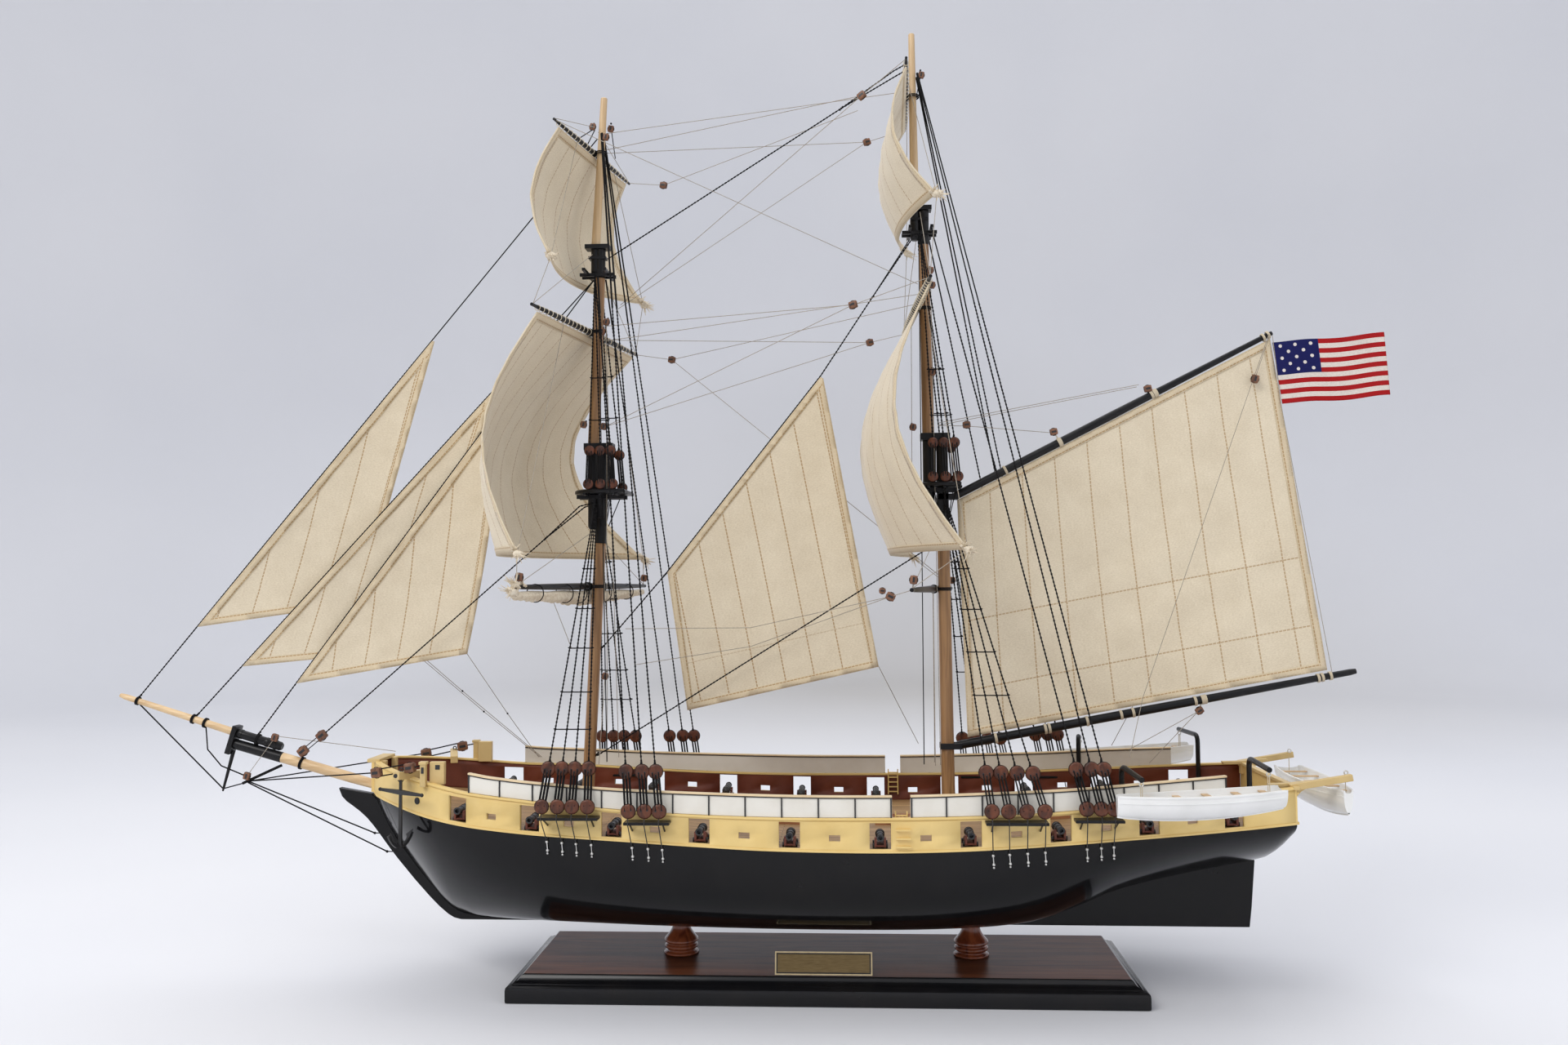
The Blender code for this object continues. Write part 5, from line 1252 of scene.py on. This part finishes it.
for name, (yard, head, clews, bow, belly, drop) in square_sails.items():
    middle, _, radius, tip, angle, _ = yards[yard]
    along = yard_direction(angle)
    port_x, starboard_x, foot, height = clews
    top = flat(middle) - Vector((0, 0, radius / 1000 + 0.001))
    ends = (top - along * head, top + along * head,
            Vector((port_x, -foot, height)), Vector((starboard_x, foot, height)))
    tall = (ends[0] - ends[2]).length * 1.06

    def bend_to(point):
        """Flat cut to hung sail; the cut runs from the foot at 0 up to the head."""
        v = point.z / tall
        u = (point.x / (foot + (head - foot) * v) + 1) / 2
        down = max(0.0, 1 - v)
        place = ends[0].lerp(ends[1], u).lerp(ends[2].lerp(ends[3], u), down)
        middle_share = 1 - (2 * u - 1)**2
        place.x += ((ruffle(Vector((point.x, 0, point.z)), 0.0006) - bow[0] - (bow[1] - bow[0]) * u) * sin(pi * down)
                    - belly * middle_share * down**1.4)
        place.z -= drop * middle_share * down
        return place

    def cut_at(point):
        return (point.x / (foot + (head - foot) * point.z / tall) * (head + foot) / 2, point.z)

    sew_sail(name, [(-foot, 0), (foot, 0), (head, tall), (-head, tall)], bend_to, cut_at, square_cloth)
    count = int(2 * head / roband_gap)
    for k in range(count + 1):
        place = flat(middle) + along * (-head + 2 * head * k / count)
        loop_size = tip + (radius - tip) * min(1.0, 2.2 * (1 - abs(2 * k / count - 1))) + 0.8
        ring_eye(robands, place - at(0, 0, 0.5), loop_size / 1000, 0.00026,
                 aimed(along) @ Matrix.Rotation(0.25, 4, "X"), 12)
    for sign, corner in ((-1, ends[2]), (1, ends[3])):
        tuft(corner + at(0.8, sign * 0.6, -0.4), (0.6, sign * 0.8, -0.3), 0.004)
        tuft(corner + at(-2, -sign * 3, 2.2), (0.2, sign, 0.4), 0.003)

# Furled course
# The fore course is rolled up under its yard with its loose ends showing, tied by gaskets.
middle, half, radius, _, angle, _ = yards["fore_lower_yard"]
radius /= 1000
along = yard_direction(angle)
forward = Vector((0, 0, 1)).cross(along)
roll_shape = ((-1.03, 0.0015), (-1.0, 0.0024), (-0.95, 0.003), (-0.75, 0.0034), (-0.45, 0.0042), (-0.15, 0.0052),
              (0.15, 0.0052), (0.45, 0.0042), (0.75, 0.0032), (0.95, 0.002))
rings = []
count = 110
for k in range(count + 1):
    place = -1.03 + 1.98 * k / count
    thick = line_at(roll_shape, place) * (0.93 + 0.1 * sin(place * 31) * sin(place * 57 + 1))
    if k % 11 == 5:
        thick *= 0.82
    centre = flat(middle) + along * half * place - Vector((0, 0, radius + thick + 0.0004))
    centre += forward * max(0.0, thick - radius)
    rings.append([centre + forward * thick * cos(a) * (1 + 0.1 * sin(5 * a + place * 9))
                  + Vector((0, 0, thick * sin(a) * (1 + 0.08 * sin(4 * a + place * 14))))
                  for a in [2 * pi * n / 28 for n in range(28)]])
furled = bmesh.new()
skin_rings(furled, rings)
keep("fore_course_roll", furled, tuft_cloth, "sail_cloth", "fore_course_furled", sharp=70)
gaskets = bmesh.new()
for k in (1, 3, 4, 6, 8):
    place = -1.03 + 1.98 * (11 * k + 5) / count
    thick = line_at(roll_shape, place) * 0.5 + radius + 0.0004
    centre = flat(middle) + along * half * place - Vector((0, 0, thick * 0.9))
    ring_eye(gaskets, centre, thick + 0.0013, 0.00035, aimed(along), 20)
keep("course_gaskets", gaskets, cord_black, "cordage")
for share, shift, outward, size in ((1.03, -3, (-0.3, -1, 0.2), 0.0046), (0.9, 1.2, (-0.1, -1, 0.5), 0.003),
                                    (0.99, 1, (-0.4, -0.8, 0.8), 0.004)):
    tuft(flat(middle) - along * half * share + at(0, 0, shift), outward, size)

# Jibs and staysails
# Three jibs and the main topmast staysail run on the stays, which pass through their luff hems.
stay_lines = {
    "outer": ((-0.4917, 0.1947), (-0.1592, 0.5932)), "middle": ((-0.4487, 0.1816), (-0.1617, 0.4905)),
    "inner": ((-0.4034, 0.1682), (-0.1617, 0.4905)), "main_topmast": ((-0.1105, 0.2798), (0.0002, 0.419))}
jib_cloth = sail_material("jib_cloth", ((0, 0.0222, 0.0046, 0.00042, 0.85),))
staysail_cloth = sail_material("staysail_cloth", ((0, 0.0205, 0.0046, 0.00045, 0.9), (1, 0.5, 0.033, 0.0003, 0.5)))


def on_stay(stay, x):
    """The point of a sail's luff at x, a little below its stay."""
    (x0, z0), (x1, z1) = stay_lines[stay]
    run = Vector((x1 - x0, z1 - z0)).normalized()
    return (x + run.y * 0.0004, z0 + (x - x0) * run.y / run.x - run.x * 0.0004)


def corner_shares(corners, s, t):
    """How near a point lies to each corner of a triangle."""
    (x0, z0), (x1, z1), (x2, z2) = corners
    area = (x1 - x0) * (z2 - z0) - (x2 - x0) * (z1 - z0)
    a = ((x1 - s) * (z2 - t) - (x2 - s) * (z1 - t)) / area
    b = ((x2 - s) * (z0 - t) - (x0 - s) * (z2 - t)) / area
    return a, b, 1 - a - b


def leech_distances(point, clew, head):
    """How far a point lies from the leech, and along it from the clew."""
    run = (Vector(head) - Vector(clew)).normalized()
    away = Vector((point.x - clew[0], point.z - clew[1]))
    return away.dot(Vector((-run.y, run.x))), away.dot(run)


for name, stay, tack_x, head_x, clew, shift, roach in (
        ("flying_jib", "outer", -0.45, -0.2795, (-0.3354, 0.2603), 0.014, 0.0),
        ("jib", "middle", -0.4165, -0.2356, (-0.2969, 0.2267), 0.011, 0.0),
        ("fore_topmast_staysail", "inner", -0.3766, -0.229, (-0.255, 0.2238), 0.008, 0.003)):
    tack, head = on_stay(stay, tack_x), on_stay(stay, head_x)

    def bend_to(point):
        a, b, c = [max(0.0, w) for w in corner_shares((tack, clew, head), point.x, point.z)]
        swell = 27 * a * b * c
        return Vector((point.x + roach * 4 * b * c, shift * b + 0.003 * swell + ruffle(point) * min(1, swell * 3),
                       point.z))

    def cut_at(point):
        across, along = leech_distances(point, clew, head)
        return (across, along + 0.3)

    sew_sail(name, [tack, clew, (head[0] + 0.0016, head[1] - 0.0002), head], bend_to, cut_at, jib_cloth,
             0.005)

throat, peak, clew = on_stay("main_topmast", -0.1095), on_stay("main_topmast", -0.0003), (0.039, 0.2137)


def staysail_foot(x):
    return 0.1838 + (x + 0.0959) * (0.0299 / 0.1349)


def bend_staysail(point):
    head_z = throat[1] + (point.x - throat[0]) * (peak[1] - throat[1]) / (peak[0] - throat[0])
    foot_z = staysail_foot(point.x)
    v = max(0.0, min(1.0, (point.z - foot_z) / max(0.012, min(head_z, 0.4178) - foot_z)))
    across = max(0.0, min(1.0, (point.x + 0.1095) / 0.1485))
    swell = sin(pi * v) * sin(pi * across)
    return Vector((point.x, (0.004 + 0.004 * across) * (1 - v) + 0.003 * swell + ruffle(point) * swell, point.z))


sew_sail("main_topmast_staysail", [(-0.0959, 0.1838), clew, (peak[0] + 0.002, peak[1] - 0.0012), peak, throat],
         bend_staysail, lambda point: (leech_distances(point, clew, peak)[0], point.z - staysail_foot(point.x)),
         staysail_cloth, 0.005)

# Spanker and flag
# The spanker is laced to gaff and boom and swells a little to starboard. The printed cotton
# ensign flies from the gaff's end, with a traditional field of small stars and thirteen stripes.
spanker_cloth = sail_material("spanker_cloth", (
    (0, 0.0248, 0.0, 0.0005, 0.75), (1, 0.5, 0.032, 0.0005, 0.7), (1, 0.5, 0.08, 0.0005, 0.7)))
spanker_corners = [(0.0997, 0.1655), (0.3441, 0.211), (0.3116, 0.4395), (0.0947, 0.33)]


def quad_shares(corners, point):
    """Shares across and up a four-cornered sail at a point of its flat cut."""
    spot = Vector((point.x, point.z))
    low_left, low_right, high_right, high_left = [Vector(corner) for corner in corners]
    u = v = 0.5
    for _ in range(8):
        low, high = low_left.lerp(low_right, u), high_left.lerp(high_right, u)
        v = (spot - low).dot(high - low) / (high - low).length_squared
        left, right = low_left.lerp(high_left, v), low_right.lerp(high_right, v)
        u = (spot - left).dot(right - left) / (right - left).length_squared
    return u, v


def bend_spanker(point):
    u, v = quad_shares(spanker_corners, point)
    bell = sin(pi * max(0, min(1, u))) * sin(pi * max(0, min(1, v)))
    fold = 0.0048 * exp(-((u - 0.84 - 0.1 * (v - 1)) / 0.035)**2) * max(0.0, v - 0.45)
    fold -= 0.0032 * exp(-((u - 0.74 - 0.16 * (v - 1)) / 0.04)**2) * max(0.0, v - 0.5)
    return Vector((point.x, 0.006 * bell + (fold + 2 * ruffle(point * 0.5)) * min(1, 3 * bell), point.z))


def cut_spanker(point):
    u, v = quad_shares(spanker_corners, point)
    return (u * 0.2396, point.z - 0.1655 - (point.x - 0.0997) * (0.0455 / 0.2444))


sew_sail("spanker", spanker_corners, bend_spanker, cut_spanker, spanker_cloth,
         0.0055)
lashings = bmesh.new()
for (start, end), radius, places in (
        (gaff_line, 0.0028, (0.16, 0.33, 0.335, 0.63, 0.635, 0.97, 0.985)),
        (boom_line, 0.003, (0.1, 0.225, 0.235, 0.33, 0.415, 0.445, 0.6, 0.625, 0.905, 0.915, 0.935))):
    start, end = flat(start), flat(end)
    for share in places:
        for k in range(3):
            ring_eye(lashings, start.lerp(end, share + 0.0022 * k), radius * (1 - 0.25 * share) + 0.0005, 0.00032,
                     aimed((end - start).normalized()), 16)
keep("spanker_lashings", lashings, thread_cream, "cordage")
keep("robands", robands, thread_cream, "cordage")
keep("clew_tufts", tufts, tuft_cloth, "sail_cloth", sharp=70)

flag_print, tree, shader = node_material("flag_print", 0.85, Sheen_Weight=0.05, Specular_IOR_Level=0.2)
uv = add_node(tree, "UVMap", uv_map="cut").outputs[0]
across, up = add_node(tree, "SeparateXYZ", [(0, uv)]).outputs[:2]
stripe = maths(tree, "LESS_THAN", maths(tree, "FRACT", maths(tree, "MULTIPLY", up, 6.5)), 0.5)
field = maths(tree, "MULTIPLY", maths(tree, "LESS_THAN", across, 0.4), maths(tree, "GREATER_THAN", up, 6 / 13))
stars = 0.0
for row, count in enumerate((3, 2, 3, 2, 3)):
    for k in range(count):
        away = (0.065 + 0.135 * (k + (0.5 if count == 2 else 0.0)), 0.93 - 0.099 * row, 0)
        away = maths(tree, "SUBTRACT", uv, away, kind="VectorMath")
        away = maths(tree, "MULTIPLY", away, (1.75, 1, 1), kind="VectorMath")
        dot = maths(tree, "LESS_THAN", maths(tree, "LENGTH", away, kind="VectorMath"), 0.027)
        stars = maths(tree, "MAXIMUM", stars, dot)
colour = blend_colours(tree, stripe, (0.8, 0.72, 0.64), (0.42, 0.008, 0.01))
colour = blend_colours(tree, field, colour, (0.009, 0.011, 0.095))
colour = blend_colours(tree, stars, colour, (0.8, 0.74, 0.68))
outputs = use_effect(tree, woven, {"Vector": maths(tree, "MULTIPLY", uv, (0.0745, 0.043, 1), kind="VectorMath"),
                                         "Pale": (1.0, 1.0, 1.0), "Deep": (0.72, 0.72, 0.72)})
colour_with(tree, shader, blend_colours(tree, 1.0, colour, outputs["Color"], blend_type="MULTIPLY"))
relief(tree, shader, outputs["Height"], 0.3, 0.0001)
flag_corners = [(0.3184, 0.394), (0.3916, 0.3985), (0.389, 0.4421), (0.3128, 0.4367)]


def bend_flag(point):
    u, v = quad_shares(flag_corners, point)
    wave = 0.0016 * sin(2.2 * pi * u + 0.8 * v) * min(1.0, 4 * u)
    return Vector((point.x, -0.0014 + wave, point.z + 0.0009 * sin(2.6 * pi * u) * min(1.0, 3 * u)))


flag, _ = cut_cloth(flag_corners, 0.0008, 0.0032, lambda point: quad_shares(flag_corners, point))
flag_piece, area = hang("flag_cloth", flag, bend_flag, flag_print, "flag_cloth", ("flag",), 0.00035)


# Standing rigging
# Black two-strand rope. The stays run forward from each masthead, the shrouds and backstays come
# down to the deadeyes, and ratlines are knotted across the shrouds.
rope_lay = 0.0052


def rope_into(bm, runs, radius):
    """Two-strand rope: an oval section that turns as it travels."""
    thread_mesh(bm, runs, radius, twist=2 * pi / rope_lay, step=0.0009,
                profile=[radius, radius * 0.66, radius * 0.66] * 2)


def knot_at(place, size):
    ops.create_icosphere(knots, subdivisions=1, radius=size, matrix=Matrix.Translation(place))


def turns_round(bm, centre, aim, radius, thick, count=2):
    """A few turns of line side by side round a spar."""
    aim = aim.normalized()
    for k in range(count):
        ring_eye(bm, Vector(centre) + aim * thick * 1.9 * (k - (count - 1) / 2), radius + thick * 0.8, thick,
                 aimed(aim), 18)


knots, stays, ratlines = bmesh.new(), bmesh.new(), bmesh.new()
stay_runs = mm(
    ((-357.2, 0, 166.7), (-196.1, 0, 306), (-171.1, -3.6, 328.2), (-159, -4.4, 331)),
    ((-196.1, 0, 306), (-169, 3.6, 328), (-159, 4.4, 331.2)), ((-159.5, 0, 152.5), (79.7, 0, 299.9)),
    ((-155.7, 0, 228.1), (-110.5, 0, 279.8), (0.2, 0, 419), (37, 0, 474), (63.6, -2, 514.2)),
    ((37, 0, 474), (65, 2, 515)), ((-151.7, 0, 505.7), (16.4, 0, 610.6), (56, -0.6, 633), (63.7, -1, 637)),
    ((16.4, 0, 610.6), (54, 0.8, 637), (64, 1, 642.5)))
stay_runs += tuple([flat(end) for end in stay_lines[stay]] for stay in ("outer", "middle", "inner"))
rope_into(stays, stay_runs, 0.00064)
for x, z in ((-196.1, 306), (37, 474), (16.4, 610.6), (-110.5, 279.8), (-159.5, 153.5), (-491.7, 194.7),
             (-448.7, 181.6), (-403.4, 168.2), (-155.7, 228.5)):
    for rise in (-1, 0, 1):
        knot_at(at(x + rise, 0, z + rise), 0.00085)
keep("stays", stays, cord_black, "cordage", "fore_topgallant_stay", "fore_stay", "main_stay", "main_topmast_stay",
     "main_topgallant_stay", "fore_topmast_stays", sharp=70)

topmast_heads = {4: mm(-158.8, 10.5, 492.5), 5: mm(70.5, 10.5, 517.8)}
shroud_runs = {"fore": [], "main": []}
lines_of = {}
for group, side, foot, head in shroud_feet:
    if not head:
        x, y, z = topmast_heads[group]
        head = Vector((x, y * side, z))
    shroud_runs["fore" if group in (0, 1, 4) else "main"].append((foot, head))
    lines_of.setdefault((group, side), []).append((foot, head))
for name, runs in shroud_runs.items():
    shrouds = bmesh.new()
    rope_into(shrouds, runs, 0.0007)
    keep(name + "_shrouds", shrouds, cord_black, "cordage", sharp=70)

ratline_levels = {0: mm(284, 257, 231, 203, 180), 2: mm(282, 255, 227.5, 200.5), 4: mm(388, 418), 5: mm(388, 420)}
runs = []
for (group, side), lines in lines_of.items():
    for level in ratline_levels.get(group, ()):
        places = [foot.lerp(head, (level - foot.z) / (head.z - foot.z)) + at(0, 0, 5.5 if side > 0 else 0)
                  for foot, head in lines]
        past = (places[0] - places[-1]).normalized() * 0.0012
        runs.append([places[0] + past, *[place - at(0, 0, 0.4) for place in places], places[-1] - past])
        for place in places:
            knot_at(place, 0.00075)
thread_mesh(ratlines, runs, 0.00042, 5, step=0.004)
thread_mesh(ratlines, lanyards, 0.00038, 5, step=0.02)
keep("ratlines_and_lanyards", ratlines, cord_black, "cordage")

# Blocks and heart blocks
# Small oiled-wood blocks, round at the ends, with a strop of line; a thin black plate on each cheek is painted shade
# for the sheave slot.
block_shape = bmesh.new()
box(block_shape, (0, 0, 0), mm(5.6, 3.2, 4.8))
bevelled(block_shape, 0.0008, 2)
block_shape = template_mesh("block_shape", block_shape)
blocks, block_slot_shade, bow_ropes = bmesh.new(), bmesh.new(), bmesh.new()


def block_at(place, aim, size=1.0):
    """One block on its strop, lying along aim."""
    place, turn = Vector(place), aimed(Vector(aim), "X", "Z")
    stamp(blocks, block_shape, place, turn @ Matrix.Scale(size, 4))
    # Painted shade: a thin black plate on each cheek stands for the sheave slot.
    for sign in (-1, 1):
        box(block_slot_shade, place + turn @ Vector((0, sign * 0.00155 * size, 0)), (0.0034 * size, 0.0004, 0.0014 * size),
            turn)
    ring_eye(seizings, place, 0.00275 * size, 0.0003, turn @ lay_flat)


striker_foot = at(-410, 0, 134.5)
bow_runs = list(mm(
    ((-493, 0, 190.5), (-429, 0, 129)), ((-428.6, 0, 129.2), (-414.6, 0, 132.9)),
    ((-442.7, 0, 176.5), (-440.3, -1.2, 157.1), (-430, -1.4, 145.5), (-411, -1.6, 138)),
    ((-411, 0, 134.5), (-318.3, 0, 98.2)), ((-411, 0, 133.5), (-309.3, 0, 85.3))))
for side in (-1, 1):
    heart, post = at(-298.5, side * 49, 147.8), at(-265.2, side * 58.5, 153.5)
    second = heart.lerp(post, 0.76)
    bow_runs += [(striker_foot, heart), (second, post)]
    bow_runs += [(heart + at(2, 0, rise), second + at(-2, 0, rise)) for rise in (-2.4, 2.4)]
    for place in (heart, second):
        block_at(place, post - heart, 1.35)
    knot_at(striker_foot, 0.0012)
thread_mesh(bow_ropes, bow_runs, 0.0005, step=0.004)
for place, stem in (((-318.3, 0, 98.2), -313.2), ((-309.3, 0, 85.3), -303.2)):
    knot_at(mm(*place), 0.0011)
    thread_mesh(bow_ropes, [mm(place, (stem, 0, place[2]))], 0.0004)
for x, z, radius in mm((-493, 191.6, 2.2), (-451.6, 178.6, 2.6), (-442.7, 175.8, 2.7), (-404, 164, 3.2),
                       (-371.7, 147.2, 3.6)):
    turns_round(bow_ropes, (x, 0, z), at(-89.2, 0, 28), radius, 0.00055)
box(bow_ropes, mm(-400.6, 0, 139.3), mm(31, 1.7, 1.9), aimed(at(-28.1, 0, -12.7), "X", "Z"))
for rise in (-1.6, 1.6):
    thread_mesh(bow_ropes, [mm((-370, 0, 156.5 + rise), (-358.5, 0, 165.8 + rise))], 0.00035)
thread_mesh(bow_ropes, [mm((-371.7, 0, 149), (-371, 0, 155.7))], 0.0006)
for place, aim, size in (((-371, 0, 155.7), (1, 0, 0.8), 1.3), ((-357.5, 0, 166.7), (1, 0, 0.8), 1.3),
                         ((-409.7, -4.2, 138.7), (0.3, 0, 1), 0.95), ((-389.5, -4.6, 165.9), (0.3, 0, 1), 0.95)):
    block_at(mm(*place), aim, size)
keep("bow_ropes", bow_ropes, cord_black, "cordage")

# Running rigging
# Thin tan thread: braces lead from the yardarms through small blocks to the other mast, sheets
# hold the clews, and halyards run down beside the masts.
running_thread = speckled("running_thread", 0.85, 700.0, (0.5, 0.44, 0.35), (0.16, 0.13, 0.1), Sheen_Weight=0.2)


def yardarm(name, side, x=0, y=0, z=0):
    """Where lines are tied near the end of a yard, moved by x, y and z in millimetres."""
    middle, half, _, _, angle, _ = yards[name]
    return flat(middle) + yard_direction(angle) * half * 0.975 * side + at(x, y, z)


brace_block = yardarm("main_lower_yard", -1, -13, 10, -4)
staysail_clew, sheet_end = at(39, 8, 213.7), side_point(0.07, 0.004, 0.15, 1)
threads = [
    (yardarm("fore_topgallant_yard", -1), mm(69, -4, 482)),
    (yardarm("main_lower_yard", -1), brace_block, *mm((-50, -8, 242), (-138.6, -3, 241.6))),
    (brace_block, *mm((-50, -8, 229), (-132.1, -3, 216.3))),
    (yardarm("fore_lower_yard", -1, 8, 60, -8), mm(-168, -42, 230)),
    (staysail_clew, staysail_clew.lerp(sheet_end, 0.85), sheet_end)]
threads += mm(
    ((-154.5, 3, 598), (64.5, -3, 620.5)), ((-150, 0, 447), (-126.9, 0, 449.7), (72.5, -20, 471.6)),
    ((312.8, -1.6, 442), (317.5, -2, 392.5), (331.3, -2.5, 303.9), (347.3, -1.6, 206.2)),
    ((310.5, -1.8, 440.5), (299.7, -3.6, 411.2)), ((-389.5, -4.6, 165.9), (-409.7, -4.2, 138.7)),
    ((-389.5, -4, 166.9), (-311, 20, 153)), ((82.7, -3, 382), (100.8, -3.4, 381.5), (158.6, -3.6, 376)),
    *[((310, 3 * side, 442), (218.2, 7 * side, 193), (203.8, 30 * side, 156)) for side in (-1, 1)],
    ((82.7, -3, 384), (220.6, -3.6, 408.5)), ((82.7, 3, 383), (220.6, 3.4, 408)),
    ((257.8, -1, 183.5), (208.3, -6, 157.6)), ((257.8, 1, 183.5), (224.6, 6, 147)),
    ((77, -6.2, 266), (76.8, -8, 147)), ((77.4, 6.2, 266), (77.2, 8, 147)),
    ((-151.3, -6.4, 458.8), (-150, -11, 150)), ((-154.3, 6.4, 452), (-146, 11, 150)),
    ((77.8, -6.4, 491.1), (78.4, -7, 419.1)), ((78.4, -7, 419.1), (80, -12, 148)),
    ((-152, -8, 208.8), (-156, -10, 148)), ((-152, -8, 208.8), (-153, -6.4, 300)))
for yard, side, pendant, *leads in (
        ("fore_topgallant_yard", 1, (-120.4, 60, 577.6), (28.3, 10, 612.5)),
        ("main_topgallant_yard", -1, (30.6, -55, 598), (-156, 4, 586), (-148, 30, 479)),
        ("main_topgallant_yard", 1, (35.1, 58, 606.2), (-155, 4, 584), (-150, 30, 476)),
        ("main_topsail_yard", -1, (23.5, -70, 453.6), (-158, -4, 456), (-156, -4, 383)),
        ("main_topsail_yard", 1, (36, 80, 457.3), (-158, 4, 448), (-156, 4, 385)),
        ("fore_topsail_yard", 1, (-117.3, 80, 446.6), (70, 4, 470), (84, 10, 276))):
    start, pendant = yardarm(yard, side), at(*pendant)
    block_at(pendant, pendant - start)
    threads += [(start, pendant), *[(pendant, mm(*lead)) for lead in leads]]
for x, y, z in mm((-161.5, -5, 600.4), (-150.5, 6, 602.6), (-151.7, -6, 592.3), (-151.3, -6.4, 458.8),
                  (-154.3, -6.4, 452), (-166.2, -13, 385), (-151.8, -13, 383.5), (64, -13, 380), (77.8, -6.4, 491.1),
                  (78.8, -6.4, 480.6), (73.6, 3, 634.3), (78.4, -7, 419.1), (-152, -8, 208.8)):
    block_at((x, y, z), (0.2, 0, 1), 0.85)
    knot_at((x + (0.0006 if x < 0 else -0.0006), y * 0.6, z + 0.003), 0.0008)
yard_names = list(yards)
for name, lift_z in zip(yard_names, mm(310, 508, 600, 310, 533, 634)):
    for side in (-1, 1):
        threads.append((yardarm(name, side, z=1), (yards[name][5] - 0.003, side * 0.0048, lift_z)))
        if "lower" in name:
            place = yardarm(name, side, 1, -side * 3, 6.2)
            block_at(place, (0.1, 0, 1), 0.95)
            threads.append((yardarm(name, side, y=-side * 3), place))
for yard, head, (port_x, starboard_x, foot, height), *_ in square_sails.values():
    below = yard_names[yard_names.index(yard) - 1]
    for side, x in ((-1, port_x), (1, starboard_x)):
        corner = (x, side * foot, height)
        quarter = flat(yards[yard][0]) + yard_direction(yards[yard][4]) * side * head * 0.55
        threads += [(corner, yardarm(below, side, z=1)), (quarter + at(1.4, 0, -2), corner)]
rail_point = side_point(-0.223, 0.004, wall_top(-0.223) + 0.006, 1)
for clew in (at(-335.4, 14, 260.3), at(-296.9, 11, 226.7), at(-255, 8, 223.8)):
    end = rail_point + Vector((0.4 * clew.y, 0, 0))
    middle = clew.lerp(end, 0.55) - at(0, 0, 1)
    threads.append((clew, middle, end))
    knot_at(middle, 0.0008)
block_at(yardarm("main_lower_yard", -1, -18, 10, -0.4), (1, 0, -0.1), 0.7)
for place, aim, size in ((brace_block, (1, 0, -0.5), 1), (at(299.7, -3.6, 411.2), (0.3, 0, 1), 1),
                         (at(227.3, -1, 406), (1, 0, 0.2), 0.95), (at(162.1, -1, 376.8), (1, 0, 0.2), 0.95),
                         (at(101.7, -3.4, 382.3), (1, 0, 0.1), 0.95), (at(257.8, 0, 183.5), (1, 0, 0.6), 0.95)):
    block_at(place, aim, size)
running, halyards, turns = bmesh.new(), bmesh.new(), bmesh.new()
thread_mesh(running, threads, 0.00024, 5, step=0.05)
keep("running_rigging", running, running_thread, "cordage")
thread_mesh(halyards, mm(
    ((-160, -5, 598), (-164, -12, 584.5)), ((-162, -5, 598), (-167, -26, 584.5)), ((-157, -7.5, 490), (-150, -12, 150)),
    ((70, -6, 517), (69, -9, 148)), ((-150, 6, 601), (-148, 10, 582)), ((73, 2, 633), (70, 6, 619))), 0.00036,
    step=0.05)
keep("halyards", halyards, cord_black, "cordage")
for x, z, (start, end), radius in ((0.23, 0.4017, gaff_line, 0.0024), (0.1665, 0.3697, gaff_line, 0.0026),
                                   (0.26, 0.1909, boom_line, 0.0027)):
    turns_round(turns, (x, 0, z), flat(end) - flat(start), radius, 0.00035, 3)
thread_mesh(turns, mm(((259, 0, 188), (257.8, 0, 185)), ((229.5, 0, 403.5), (227.3, -1, 406)),
                      ((165.5, 0, 371.5), (162.1, -1, 376.8))), 0.0004)
keep("spar_lashings", turns, thread_cream, "cordage")
pulley_wood = wooden("pulley_wood", (0.24, 0.105, 0.052), (0.1, 0.04, 0.02), (300, 300, 200), 0.5)
for name, bm, finish, slot in (("blocks", blocks, pulley_wood, "turned_wood"),
                               ("block_slot_shade", block_slot_shade, gun_black, "black_paint"),
                               ("deadeyes", deadeyes, block_wood, "turned_wood"),
                               ("deadeye_painted_hole_shade", holes, gun_black, "black_paint"),
                               ("seizings", seizings, cord_black, "cordage"),
                               ("rope_knots", knots, cord_black, "cordage")):
    keep(name, bm, finish, slot)
